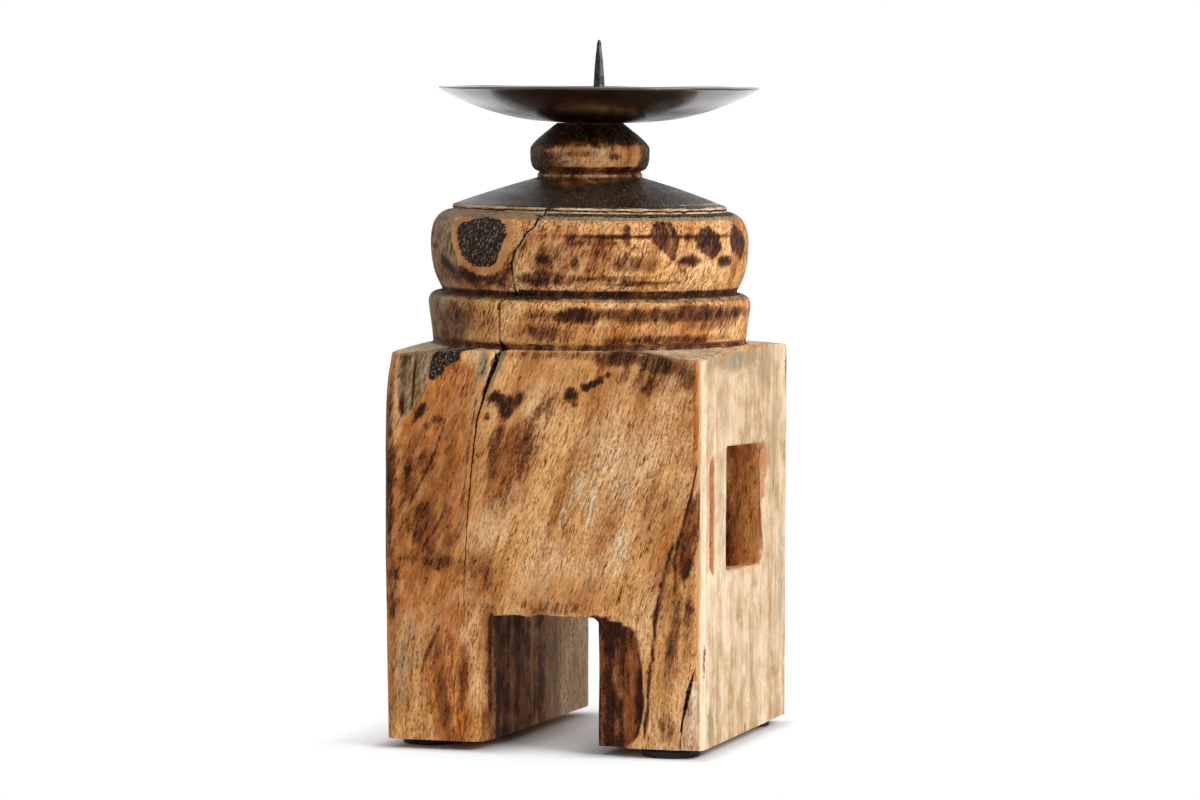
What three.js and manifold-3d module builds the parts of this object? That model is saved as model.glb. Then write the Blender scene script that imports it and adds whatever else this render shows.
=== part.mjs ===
// Pricket candle holder: a reclaimed turned timber post that carries a dished iron pan with a forged spike.
// Millimetres, +Z up. The origin is on the floor under the post's turning axis. The front face looks along -Y
// and the mortise is in the right face, at +X.

import * as THREE from 'three';
import { mergeVertices } from 'three/addons/utils/BufferGeometryUtils.js';
import Module from 'manifold-3d';

const wasm = await Module();
wasm.setup();

// Clearances
const seatGap = 0.3; // between two pieces that rest on each other
const socketClearance = 0.35; // each side of the tang, in the pan and in the post
const cutOverrun = 4; // how far a cutter runs past the face that it cuts

// Foot pads: each was stuck on by hand, at its own distance from the two nearest sides of the block
const padDiameter = 22;
const padThickness = 2.7;
const padChamfer = 0.5;
const padPlaces = {
  foot_pad_front_left: { right: -1, rear: -1, fromSide: 13, fromEnd: 22 },
  foot_pad_front_right: { right: 1, rear: -1, fromSide: 15.7, fromEnd: 12.5 },
  foot_pad_rear_left: { right: -1, rear: 1, fromSide: 24, fromEnd: 30 },
  foot_pad_rear_right: { right: 1, rear: 1, fromSide: 15, fromEnd: 14 },
};

// Square block at the foot of the post
const blockWidth = 128;
const blockDepth = 124;
const blockHeight = 151.6;
const blockEdgeRadius = 2.6;
const pommelFall = 3.4; // how much lower the block's top is at its corners than at the axis

// Slot through the block from front to back, between the two legs
const slotLeft = -22.4;
const slotRight = 22;
const slotHeight = 49.2;
const slotCornerRadius = 2.5;
const slotToeIn = 4; // how much the left wall comes in from the front to the back

// Old scoop on the inner front corner of the right leg
const scoopWidth = 18.2;
const scoopArch = 14; // height of its curved top
const scoopDepthInside = 5.5;
const scoopDepthOutside = 0.9;

// Blind mortise in the right face, for the rail of the piece of furniture that the post came from
const mortiseWidth = 51.6;
const mortiseHeight = 46;
const mortiseDepth = 37;
const mortiseCentreY = -1.5;
const mortiseSill = 66.6; // above the underside of the block

// Shallow gauge mark beside the mortise
const markWidth = 6.4;
const markDepth = 1.8;
const markFromMortise = 16.7; // from the mortise to the mark's near edge

// Split sliver at the foot of the front right edge
const splitHeight = 34;
const splitWidth = 9;
const splitDepth = 1.8;

// Turned part of the post, from the block upward: the height of each moulding, then the turning radius and
// how far each place is cut in from it, then the radii of the narrow top
const lowerRingHeight = 19.4;
const upperRingHeight = 31.3;
const filletHeight = 2;
const shoulderHeight = 10.6;
const neckHeight = 3.2;
const knobHeight = 18.1;
const turningRadius = 63; // at the widest place of the lower ring
const lowerRingTaper = 2; // how much narrower the lower ring is where it meets the block
const lowerRingRoll = 4.8; // height of the rounded upper edge of the lower ring
const grooveCut = 5.8;
const upperRingCut = 0.9;
const upperRingTopCut = 8;
const filletCut = 9.5;
const upperRingSwell = 18.6; // height of the widest place above the groove
const ringBellyRise = 7; // sets how full the ring is below its widest place
const ringTopRoll = 1.8; // sets how square the ring's upper edge is
const shoulderTopRadius = 21.6;
const shoulderCrown = 0.9; // how far the shoulder swells above a straight cone
const neckRadius = 20;
const knobRadius = 23.5;
const knobBandHeight = 4.6;
const knobUndercut = 2.7;
const knobConeHeight = 7.6; // the knob's cone, down from the seat of the pan
const seatRadius = 12.8;

// Drying crack that runs down the front, as a line of [x, height from the block's top, width]
const crackDepth = 11;
const crackLine = [
  [-1.5, 53, 0.7],
  [-8, 40.4, 1.5],
  [-13.2, 24.4, 1.6],
  [-17.4, 8.4, 1.7],
  [-18.2, -1.6, 1.9],
  [-24.4, -20.1, 1.3],
  [-28.3, -50.6, 0.9],
  [-30.2, -71.6, 0.6],
];

// Iron drip pan: a shallow dish with a flat centre, set a little off the turning axis
const panDiameter = 125;
const panHeight = 13.8;
const panSheet = 1.1;
const panFlatRadius = 13.6;
const panOffset = [3.3, 1];

// Forged spike: square point above a round collar, square tang below it
const spikeLength = 28.6; // from the top of the collar to the tip
const spikeBaseWidth = 4;
const spikeMidWidth = 1.95;
const spikeMidFromTip = 7;
const spikeTipWidth = 0.9;
const spikeTurn = THREE.MathUtils.degToRad(-18.6); // turns the faces of the square about the spike's axis
const collarDiameter = 15;
const collarThickness = 2;
const collarChamfer = 0.5;
const tangWidth = 6;
const tangEndWidth = 4;
const tangLength = 42; // below the pan's underside
const socketSpare = 3; // empty depth under the tang

// Facets of the round pieces
const postSegments = 72;
const panSegments = 72;
const smallSegments = 32;
const curveSteps = 5;
const panArcSteps = 9;

// Heights that the pieces share, from the floor up
const undersideZ = padThickness + seatGap;
const blockTopZ = undersideZ + blockHeight;
const seatZ = blockTopZ + lowerRingHeight + upperRingHeight + filletHeight + shoulderHeight + neckHeight
  + knobHeight;
const panZ = seatZ + seatGap;
const collarZ = panZ + panSheet + seatGap;

// Radii that are cut in from the turning radius
const grooveRadius = turningRadius - grooveCut;
const upperRingRadius = turningRadius - upperRingCut;
const upperRingTopRadius = turningRadius - upperRingTopCut;
const filletRadius = turningRadius - filletCut;
const ringFootRadius = turningRadius - lowerRingTaper;

// Faces of the block
const frontY = -blockDepth / 2;
const rightX = blockWidth / 2;

const halfDiagonal = Math.SQRT1_2; // half the diagonal of a square, as a share of its side

function solidOf(geometry) {
  const bare = geometry.clone();
  bare.deleteAttribute('normal');
  bare.deleteAttribute('uv');
  const merged = mergeVertices(bare, 1e-4);
  return new wasm.Manifold(new wasm.Mesh({
    numProp: 3,
    vertProperties: new Float32Array(merged.attributes.position.array),
    triVerts: new Uint32Array(merged.index.array),
  }));
}

function geometryOf(solid) {
  const mesh = solid.getMesh();
  const geometry = new THREE.BufferGeometry();
  geometry.setAttribute('position', new THREE.BufferAttribute(new Float32Array(mesh.vertProperties), 3));
  geometry.setIndex(new THREE.BufferAttribute(new Uint32Array(mesh.triVerts), 1));
  geometry.computeVertexNormals();
  return geometry;
}

// A profile of [radius, height] points turned about the Z axis
function turned(points, segments) {
  return new THREE.LatheGeometry(points, segments).rotateX(Math.PI / 2);
}

// A shape drawn as (x, height) and carried along Y from y0 to y1
function alongY(shape, y0, y1) {
  const options = { depth: y1 - y0, bevelEnabled: false, curveSegments: curveSteps };
  return new THREE.ExtrudeGeometry(shape, options).rotateX(Math.PI / 2).translate(0, y1, 0);
}

// Moves every vertex of a geometry by a rule that takes and returns a Vector3
function reshaped(geometry, rule) {
  const positions = geometry.attributes.position;
  const point = new THREE.Vector3();
  for (let i = 0; i < positions.count; i += 1) {
    rule(point.fromBufferAttribute(positions, i));
    positions.setXYZ(i, point.x, point.y, point.z);
  }
  return geometry;
}

function roundedRectangle(width, height, radius) {
  const x = width / 2;
  const y = height / 2;
  const shape = new THREE.Shape();
  shape.moveTo(x - radius, -y);
  shape.absarc(x - radius, -y + radius, radius, -Math.PI / 2, 0);
  shape.absarc(x - radius, y - radius, radius, 0, Math.PI / 2);
  shape.absarc(-x + radius, y - radius, radius, Math.PI / 2, Math.PI);
  shape.absarc(-x + radius, -y + radius, radius, Math.PI, Math.PI * 1.5);
  return shape;
}

// The squared timber, with worn upright edges and a top that falls to the corners as the lathe left it
function blockSolid() {
  const outline = roundedRectangle(blockWidth, blockDepth, blockEdgeRadius);
  const options = { depth: blockHeight, bevelEnabled: false, curveSegments: curveSteps };
  const timber = new THREE.ExtrudeGeometry(outline, options).translate(0, 0, undersideZ);
  const reach = Math.hypot(blockWidth, blockDepth) / 2 + cutOverrun;
  const cornerZ = blockTopZ - pommelFall;
  const pommel = turned([
    new THREE.Vector2(0, undersideZ - cutOverrun),
    new THREE.Vector2(reach, undersideZ - cutOverrun),
    new THREE.Vector2(reach, cornerZ),
    new THREE.Vector2(filletRadius, blockTopZ),
    new THREE.Vector2(0, blockTopZ),
  ], postSegments);
  return solidOf(timber).intersect(solidOf(pommel));
}

// The mouldings that stand on the block: two rings, a shoulder, a neck and a knob
function turnedSolid() {
  const grooveZ = blockTopZ + lowerRingHeight;
  const filletZ = grooveZ + upperRingHeight;
  const shoulderZ = filletZ + filletHeight;
  const neckZ = shoulderZ + shoulderHeight;
  const knobZ = neckZ + neckHeight;
  const bandZ = knobZ + knobUndercut;
  const rootZ = blockTopZ - pommelFall * 2;
  const swellZ = grooveZ + upperRingSwell;
  const shoulderMidRadius = (filletRadius + shoulderTopRadius) / 2;
  const shoulderMidZ = shoulderZ + shoulderHeight / 2 + shoulderCrown;

  const profile = new THREE.Path();
  profile.moveTo(0, rootZ);
  profile.lineTo(ringFootRadius, rootZ);
  profile.lineTo(ringFootRadius, blockTopZ);
  profile.lineTo(turningRadius, grooveZ - lowerRingRoll);
  profile.quadraticCurveTo(turningRadius, grooveZ, grooveRadius, grooveZ);
  profile.quadraticCurveTo(upperRingRadius, grooveZ + ringBellyRise, upperRingRadius, swellZ);
  profile.quadraticCurveTo(upperRingRadius, filletZ - ringTopRoll, upperRingTopRadius, filletZ);
  profile.lineTo(filletRadius, filletZ);
  profile.lineTo(filletRadius, shoulderZ);
  profile.quadraticCurveTo(shoulderMidRadius, shoulderMidZ, shoulderTopRadius, neckZ);
  profile.lineTo(neckRadius, neckZ);
  profile.lineTo(neckRadius, knobZ);
  profile.quadraticCurveTo(knobRadius, knobZ, knobRadius, bandZ);
  profile.lineTo(knobRadius, bandZ + knobBandHeight);
  profile.quadraticCurveTo(knobRadius, seatZ - knobConeHeight, seatRadius, seatZ);
  profile.lineTo(0, seatZ);
  return solidOf(turned(profile.getPoints(curveSteps), postSegments));
}

function slotCutter() {
  const top = undersideZ + slotHeight;
  const floor = undersideZ - cutOverrun;
  const shape = new THREE.Shape();
  shape.moveTo(slotLeft, floor);
  shape.lineTo(slotRight, floor);
  shape.lineTo(slotRight, top - slotCornerRadius);
  shape.absarc(slotRight - slotCornerRadius, top - slotCornerRadius, slotCornerRadius, 0, Math.PI / 2);
  shape.lineTo(slotLeft + slotCornerRadius, top);
  shape.absarc(slotLeft + slotCornerRadius, top - slotCornerRadius, slotCornerRadius, Math.PI / 2, Math.PI);
  const reach = blockDepth / 2 + cutOverrun;
  const middleX = (slotLeft + slotRight) / 2;
  const slant = slotToeIn / blockDepth;
  return solidOf(reshaped(alongY(shape, -reach, reach), (point) => {
    if (point.x < middleX) {
      point.x += slant * (point.y - frontY);
    }
  }));
}

// A hollow with an arched top, deepest at the slot and shallow at its outer edge
function scoopCutter() {
  const top = undersideZ + slotHeight;
  const inner = slotRight - cutOverrun;
  const outer = slotRight + scoopWidth;
  const floor = undersideZ - cutOverrun;
  const shape = new THREE.Shape();
  shape.moveTo(inner, floor);
  shape.lineTo(outer, floor);
  shape.lineTo(outer, top - scoopArch);
  shape.absellipse(slotRight, top - scoopArch, scoopWidth, scoopArch, 0, Math.PI / 2);
  shape.lineTo(inner, top);
  const slope = (scoopDepthInside - scoopDepthOutside) / scoopWidth;
  return solidOf(reshaped(alongY(shape, frontY - cutOverrun, frontY), (point) => {
    if (point.y > frontY - cutOverrun / 2) {
      point.y += scoopDepthOutside + slope * (outer - point.x);
    }
  }));
}

function boxSolid(x0, x1, y0, y1, z0, z1) {
  const box = new THREE.BoxGeometry(x1 - x0, y1 - y0, z1 - z0);
  return solidOf(box.translate((x0 + x1) / 2, (y0 + y1) / 2, (z0 + z1) / 2));
}

function mortiseCutter() {
  const y0 = mortiseCentreY - mortiseWidth / 2;
  const z0 = undersideZ + mortiseSill;
  return boxSolid(rightX - mortiseDepth, rightX + cutOverrun, y0, y0 + mortiseWidth, z0, z0 + mortiseHeight);
}

function markCutter() {
  const y1 = mortiseCentreY - mortiseWidth / 2 - markFromMortise;
  const z0 = undersideZ + mortiseSill;
  return boxSolid(rightX - markDepth, rightX + cutOverrun, y1 - markWidth, y1, z0, z0 + mortiseHeight);
}

// The long sliver that has split away from the front right edge
function splitCutter() {
  const shape = new THREE.Shape();
  shape.moveTo(rightX - splitWidth, undersideZ - cutOverrun);
  shape.lineTo(rightX + cutOverrun, undersideZ - cutOverrun);
  shape.lineTo(rightX + cutOverrun, undersideZ + splitHeight);
  shape.lineTo(rightX, undersideZ + splitHeight);
  return solidOf(alongY(shape, frontY - cutOverrun, frontY + splitDepth));
}

// The drying crack: a ribbon that follows the line and narrows to its lower end
function crackCutter() {
  const shape = new THREE.Shape();
  crackLine.forEach(([x, height, width], i) => {
    if (i === 0) {
      shape.moveTo(x - width / 2, blockTopZ + height);
    } else {
      shape.lineTo(x - width / 2, blockTopZ + height);
    }
  });
  [...crackLine].reverse().forEach(([x, height, width]) => {
    shape.lineTo(x + width / 2, blockTopZ + height);
  });
  const reach = Math.max(blockDepth / 2, turningRadius) + cutOverrun;
  return solidOf(alongY(shape, -reach, frontY + crackDepth));
}

// A square bar that tapers through the given [side, height] pairs, with faces turned to the spike's angle
function squareBar(sections, spare) {
  const points = [new THREE.Vector2(0, sections[0][1])];
  sections.forEach(([side, height]) => {
    points.push(new THREE.Vector2((side + 2 * spare) * halfDiagonal, height));
  });
  points.push(new THREE.Vector2(0, sections[sections.length - 1][1]));
  const bar = turned(points, 4).rotateZ(Math.PI / 4 + spikeTurn);
  return solidOf(bar.translate(panOffset[0], panOffset[1], 0));
}

// The tang from its end up to the given height, with the given spare room on each side
function tangSolid(topZ, spare, spareBelow) {
  return squareBar([
    [tangEndWidth, panZ - tangLength - spareBelow],
    [tangWidth, panZ],
    [tangWidth, topZ],
  ], spare);
}

function postGeometry() {
  const socket = tangSolid(seatZ + cutOverrun, socketClearance, socketSpare);
  const post = blockSolid()
    .add(turnedSolid())
    .subtract(slotCutter())
    .subtract(scoopCutter())
    .subtract(mortiseCutter())
    .subtract(markCutter())
    .subtract(splitCutter())
    .subtract(crackCutter())
    .subtract(socket);
  return geometryOf(post);
}

// The pan's sheet follows an arc of a circle from the edge of its flat centre up to the rim
function panGeometry() {
  const run = panDiameter / 2 - panFlatRadius;
  const rise = panHeight - panSheet;
  const arcRadius = (run * run + rise * rise) / (2 * rise);
  const arcAngle = Math.asin(run / arcRadius);
  const under = [new THREE.Vector2(0, panZ)];
  for (let i = 0; i <= panArcSteps; i += 1) {
    const angle = (arcAngle * i) / panArcSteps;
    const radius = panFlatRadius + arcRadius * Math.sin(angle);
    under.push(new THREE.Vector2(radius, panZ + arcRadius * (1 - Math.cos(angle))));
  }
  const over = under.map((point) => new THREE.Vector2(point.x, point.y + panSheet)).reverse();
  const dish = turned([...under, ...over], panSegments).translate(panOffset[0], panOffset[1], 0);
  const hole = tangSolid(collarZ + cutOverrun, socketClearance, 0);
  return geometryOf(solidOf(dish).subtract(hole));
}

function spikeGeometry() {
  const tipZ = collarZ + collarThickness + spikeLength;
  const collarTop = collarZ + collarThickness;
  const collarRadius = collarDiameter / 2;
  const collar = turned([
    new THREE.Vector2(0, collarZ),
    new THREE.Vector2(collarRadius, collarZ),
    new THREE.Vector2(collarRadius, collarTop - collarChamfer),
    new THREE.Vector2(collarRadius - collarChamfer, collarTop),
    new THREE.Vector2(0, collarTop),
  ], smallSegments).translate(panOffset[0], panOffset[1], 0);
  const point = squareBar([
    [spikeBaseWidth, collarTop - collarThickness / 2],
    [spikeBaseWidth, collarTop],
    [spikeMidWidth, tipZ - spikeMidFromTip],
    [spikeTipWidth, tipZ],
  ], 0);
  const tang = tangSolid(collarTop - collarThickness / 2, 0, 0);
  return geometryOf(solidOf(collar).add(point).add(tang));
}

function padGeometry(x, y) {
  const radius = padDiameter / 2;
  return turned([
    new THREE.Vector2(0, 0),
    new THREE.Vector2(radius - padChamfer, 0),
    new THREE.Vector2(radius, padChamfer),
    new THREE.Vector2(radius, padThickness),
    new THREE.Vector2(0, padThickness),
  ], smallSegments).translate(x, y, 0);
}

function piece(name, geometry, colour, roughness, metalness) {
  const material = new THREE.MeshStandardMaterial({ color: colour, roughness, metalness });
  const mesh = new THREE.Mesh(geometry, material);
  mesh.name = name;
  return mesh;
}

const candleHolder = new THREE.Group();
candleHolder.name = 'candle_holder';
candleHolder.add(piece('post', postGeometry(), 0xb98a58, 0.7, 0));
candleHolder.add(piece('drip_pan', panGeometry(), 0x3a2a22, 0.45, 0.8));
candleHolder.add(piece('spike', spikeGeometry(), 0x4a4644, 0.5, 0.9));
Object.entries(padPlaces).forEach(([name, place]) => {
  const x = place.right * (blockWidth / 2 - place.fromSide);
  const y = place.rear * (blockDepth / 2 - place.fromEnd);
  candleHolder.add(piece(name, padGeometry(x, y), 0x141414, 0.85, 0));
});

export default candleHolder;
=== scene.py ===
# %% [markdown]
# # A pricket candle holder from an old turned post
#
# The real object is one piece of reclaimed hardwood: a square block with a slot through its foot, two
# turned rings, a shoulder and a knob. An iron pan with a forged spike stands on the knob, and black
# rubber pads keep the legs off the table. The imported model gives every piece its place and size. This
# file gives every piece its worn surface: each one is a numpy surface that stands for a solid of the
# frame and rides on the same body.

# %% Load the frame
import math

import bpy
import numpy as np
from mathutils import Matrix, Vector


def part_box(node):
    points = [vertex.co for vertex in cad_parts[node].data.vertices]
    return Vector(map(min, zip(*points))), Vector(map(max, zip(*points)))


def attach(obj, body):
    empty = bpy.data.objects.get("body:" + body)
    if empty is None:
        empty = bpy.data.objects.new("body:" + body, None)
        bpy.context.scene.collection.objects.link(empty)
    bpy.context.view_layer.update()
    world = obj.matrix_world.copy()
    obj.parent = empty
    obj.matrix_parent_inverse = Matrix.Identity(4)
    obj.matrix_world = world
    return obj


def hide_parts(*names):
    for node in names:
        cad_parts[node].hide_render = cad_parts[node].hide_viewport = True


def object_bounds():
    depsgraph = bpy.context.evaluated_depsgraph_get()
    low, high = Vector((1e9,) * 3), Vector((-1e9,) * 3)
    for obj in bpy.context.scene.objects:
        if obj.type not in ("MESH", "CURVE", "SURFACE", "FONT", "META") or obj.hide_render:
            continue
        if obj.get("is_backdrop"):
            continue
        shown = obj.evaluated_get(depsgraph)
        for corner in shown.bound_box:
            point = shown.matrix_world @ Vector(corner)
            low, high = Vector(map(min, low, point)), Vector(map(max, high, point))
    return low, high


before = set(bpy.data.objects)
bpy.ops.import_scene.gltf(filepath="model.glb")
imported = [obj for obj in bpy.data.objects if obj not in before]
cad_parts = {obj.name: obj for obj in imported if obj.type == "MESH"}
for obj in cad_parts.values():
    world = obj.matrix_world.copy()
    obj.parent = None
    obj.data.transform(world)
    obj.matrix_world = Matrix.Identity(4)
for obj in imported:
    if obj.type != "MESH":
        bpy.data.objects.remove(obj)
cad_low, cad_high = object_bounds()
MM = 0.001


def box_mm(node):
    """Lowest and highest corner of a solid of the frame, in millimetres."""
    low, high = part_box(node)
    return np.array(low) / MM, np.array(high) / MM


post_low, post_high = box_mm("post")
pan_low, pan_high = box_mm("drip_pan")
spike_low, spike_high = box_mm("spike")
print("post from", post_low.round(1), "to", post_high.round(1))

# %% [markdown]
# ## Camera
#
# The photograph was taken with a long lens from about two metres, a little above the pan and to the right
# of the front. A long lens keeps the block's upright edges almost parallel. The place and the turn of the
# camera come from fitting the block's corners and the rings, so the render can be laid over the
# photograph.

# %% The camera
CAMERA_SIDE = math.radians(17.068)
CAMERA_DISTANCE = 2.029
CAMERA_HEIGHT = 0.2612
CAMERA_HEADING = math.radians(16.949)
CAMERA_PITCH = math.radians(3.6646)
CAMERA_ROLL = math.radians(0.1778)
CAMERA_LENS = 156.34

camera = bpy.data.objects.new("camera", bpy.data.cameras.new("camera"))
bpy.context.scene.collection.objects.link(camera)
camera.data.sensor_width = 36
camera.data.lens = CAMERA_LENS
turn = Matrix.Rotation(CAMERA_HEADING, 4, "Z") @ Matrix.Rotation(math.pi / 2 - CAMERA_PITCH, 4, "X")
stand_point = Vector((math.sin(CAMERA_SIDE), -math.cos(CAMERA_SIDE), 0)) * CAMERA_DISTANCE
stand_point.z = CAMERA_HEIGHT
camera.matrix_world = Matrix.Translation(stand_point) @ turn @ Matrix.Rotation(CAMERA_ROLL, 4, "Z")
bpy.context.scene.camera = camera
print("camera at", [round(v, 3) for v in stand_point])

# %% [markdown]
# ## Helpers for surfaces
#
# Old wood has no straight line left in it. A few helpers make that possible without a loop over vertices:
# a noise that gives each point in space a smooth random number, a smooth step, grids and turned forms of
# points, and a function that puts points and faces into a mesh. Blender's own noise works on one point at
# a time, so the noise is written here for whole arrays.


# %% Noise, steps and meshes
# Large odd numbers that scatter neighbouring cells, and masks that keep the low bits
SCATTER = [np.uint64(number) for number in (374761393, 668265263, 1274126177, 974634777)]
LOW_32, LOW_16 = np.uint64(0xFFFFFFFF), np.uint64(0xFFFF)


def lattice(cells, seed):
    """A number from 0 to 1 for each lattice cell, mixed from its three whole numbers and the seed."""
    x, y, z = (cells[..., axis].astype(np.int64).astype(np.uint64) for axis in range(3))
    mixed = x * SCATTER[0] + y * SCATTER[1] + z * SCATTER[2]
    mixed = (mixed + np.uint64(seed) * SCATTER[3]) & LOW_32
    mixed = ((mixed ^ (mixed >> np.uint64(13))) * SCATTER[2]) & LOW_32
    mixed = mixed ^ (mixed >> np.uint64(16))
    return (mixed & LOW_16).astype(float) / float(LOW_16)


def noise(points, size, seed, layers=1):
    """Smooth noise from -1 to 1: lattice values, size millimetres apart, blended by a smooth step along
    each axis. The size may be one length for each axis, and each further layer is half as large and half
    as strong."""
    total = np.zeros(len(points))
    weight = 0.0
    for layer in range(layers):
        place = points / (np.asarray(size, float) / 2**layer)
        cell = np.floor(place)
        part = place - cell
        part = part * part * (3 - 2 * part)
        value = np.zeros(len(points))
        for corner in np.ndindex(2, 2, 2):
            near = np.where(corner, part, 1 - part).prod(axis=1)
            value += near * lattice(cell + corner, seed + layer)
        total += (2 * value - 1) / 2**layer
        weight += 1 / 2**layer
    return total / weight


def smoothstep(low, high, value):
    """0 below low, 1 above high, and a smooth curve between them."""
    t = np.clip((value - low) / (high - low), 0, 1)
    return t * t * (3 - 2 * t)


def ticks(marks, steps):
    """Even steps from each mark to the next, without the last mark."""
    spans = zip(marks[:-1], marks[1:], steps)
    return np.concatenate([np.linspace(a, b, n, endpoint=False) for a, b, n in spans])


def grid_faces(index, around=False, along=False):
    """Quads of an index grid [row, column]: each faces along column direction times row direction. The
    grid may close on itself around its columns, along its rows, or both."""
    if around:
        index = np.concatenate([index, index[:, :1]], axis=1)
    if along:
        index = np.concatenate([index, index[:1]], axis=0)
    corners = [index[:-1, :-1], index[:-1, 1:], index[1:, 1:], index[1:, :-1]]
    return np.stack(corners, axis=-1).reshape(-1, 4)


def fan(ring, centre):
    """Triangles from each step of a ring of indices to one centre vertex."""
    return np.stack([ring, np.roll(ring, -1), np.full(len(ring), centre)], axis=1)


def circle(columns):
    """Even angles once round."""
    return np.linspace(0, 2 * math.pi, columns, endpoint=False)


def around_axis(centre, radius, angle, height):
    """Points round an upright axis: the centre plus radius times (cosine, sine) of the angle, at a height."""
    x = centre[0] + radius * np.cos(angle)
    y = centre[1] + radius * np.sin(angle)
    return np.stack(np.broadcast_arrays(x, y, height), axis=-1)


def capped(rows, bottom, top):
    """Points and faces of a closed turned form: a [row, column] grid of points that closes round its
    columns, and at each end a fan to one middle point."""
    index = np.arange(rows[..., 0].size).reshape(rows.shape[:2])
    cloud = np.concatenate([rows.reshape(-1, 3), [bottom, top]])
    ends = [fan(index[0][::-1], len(cloud) - 2), fan(index[-1], len(cloud) - 1)]
    return cloud, [grid_faces(index, around=True), *ends]


def store(piece, name, values):
    """Keeps one number for each point of a piece, which a material reads by its name."""
    layer = piece.data.attributes.new(name, "FLOAT", "POINT")
    layer.data.foreach_set("value", values.astype(np.float32))


def make_piece(name, points, faces, body, node, sharp_degrees):
    """A mesh from points in millimetres, smooth but for edges over an angle, which stands for one solid of
    the frame. Faces that would point inwards, told by the sign of the enclosed volume, are turned round."""
    mesh = bpy.data.meshes.new(name)
    corner_lists = [face for group in faces for face in np.asarray(group).tolist()]
    mesh.from_pydata((points * MM).tolist(), [], corner_lists)
    mesh.calc_loop_triangles()
    triangles = np.empty(len(mesh.loop_triangles) * 3, np.int32)
    mesh.loop_triangles.foreach_get("vertices", triangles)
    a, b, c = (points[triangles[corner::3]] for corner in range(3))
    volume = np.einsum("ij,ij->i", a, np.cross(b, c)).sum() / 6
    if volume < 0:
        mesh.flip_normals()
    mesh.shade_smooth()
    mesh.set_sharp_from_angle(angle=math.radians(sharp_degrees))
    piece = bpy.data.objects.new(name, mesh)
    bpy.context.scene.collection.objects.link(piece)
    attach(piece, body)
    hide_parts(node)
    print(f"{name}: {len(triangles) // 3} triangles, {abs(volume) / 1000:.1f} cubic centimetres")
    return piece


# %% [markdown]
# ## The post: one grid from the feet to the socket
#
# The timber is one body, so its skin is one grid. A column of the grid runs up one place of the block's
# side, in over the block's top to the foot of the lower ring, up the turned profile, in over the seat of
# the pan and down into the socket for the tang. Each column keeps its direction from the axis, so the
# square turns into the round by itself. The alternative is a boolean of a box and a lathe, but a boolean
# leaves long thin triangles that can't carry wear. Columns gather where the surface has detail, and they
# bend with the drying crack.

# %% Sizes of the post
HALF_X, HALF_Y = post_high[0], 62.0
UNDERSIDE, SEAT = post_low[2], post_high[2]
BLOCK_TOP = 154.6
POMMEL_FALL, POMMEL_INNER, POMMEL_RUN = 3.4, 53.5, 38.9
SLOT_LEFT, SLOT_RIGHT, SLOT_TOP, SLOT_TOE_IN = -22.4, 21.2, 52.2, 4.6
SCOOP_RIGHT, SCOOP_DEEP, SCOOP_RUN = 40.4, 3.4, 24.0
MORTISE_FRONT, MORTISE_REAR, MORTISE_FLOOR = -27.3, 24.3, 27.0
MORTISE_SILL, MORTISE_HEAD, MORTISE_DROP, SILL_FALL = 69.6, 115.9, 2.0, 6.0
MARK_FRONT, MARK_DEEP, MARK_REAR = -52.0, -45.2, -43.6
RING_FOOT = 61.0
SEAT_RADIUS = 12.8
PAN_AXIS = (pan_low + pan_high)[:2] / 2
SPIKE_TURN = math.radians(-18.6)
SOCKET_HALF, SOCKET_END_HALF, SOCKET_SPARE = 3.35, 2.35, 3.0
CRACK_COLUMN, CRACK_BAND = -30.0, [-32, -28]
SPLIT_COLUMN, SPLIT_BAND = 58.0, [56.4, 59.6]

# Columns: marks along each side of the block, and the number of steps between them
EDGE_X, EDGE_Y, FOOT_ROW, TOP_ROW = 58, 57, 8, 148
FRONT_MARKS = [
    -HALF_X, -EDGE_X, *CRACK_BAND, SLOT_LEFT, SLOT_RIGHT, SCOOP_RIGHT, *SPLIT_BAND, HALF_X,
]
FRONT_STEPS = [6, 32, 18, 6, 38, 20, 14, 12, 6]
RIGHT_MARKS = [-HALF_Y, -EDGE_Y, MARK_DEEP, MARK_REAR, MORTISE_FRONT, MORTISE_REAR, EDGE_Y, HALF_Y]
RIGHT_STEPS = [6, 10, 6, 12, 36, 18, 5]
BACK_MARKS = [HALF_X, EDGE_X, SLOT_RIGHT, SLOT_LEFT + SLOT_TOE_IN, -EDGE_X, -HALF_X]
BACK_STEPS = [6, 16, 38, 18, 6]
LEFT_MARKS = [HALF_Y, EDGE_Y, -EDGE_Y, -HALF_Y]
LEFT_STEPS = [5, 46, 6]
ROW_MARKS = [UNDERSIDE, FOOT_ROW, SLOT_TOP, MORTISE_SILL, MORTISE_HEAD, TOP_ROW]
ROW_STEPS = [4, 27, 10, 27, 22]
TOP_EDGE_ROWS, LEDGE_ROWS, SEAT_ROWS, SOCKET_ROWS = 6, 8, 3, 2
SLOT_DEPTH_STEPS, MORTISE_DEPTH_STEPS = 50, 20

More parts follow.
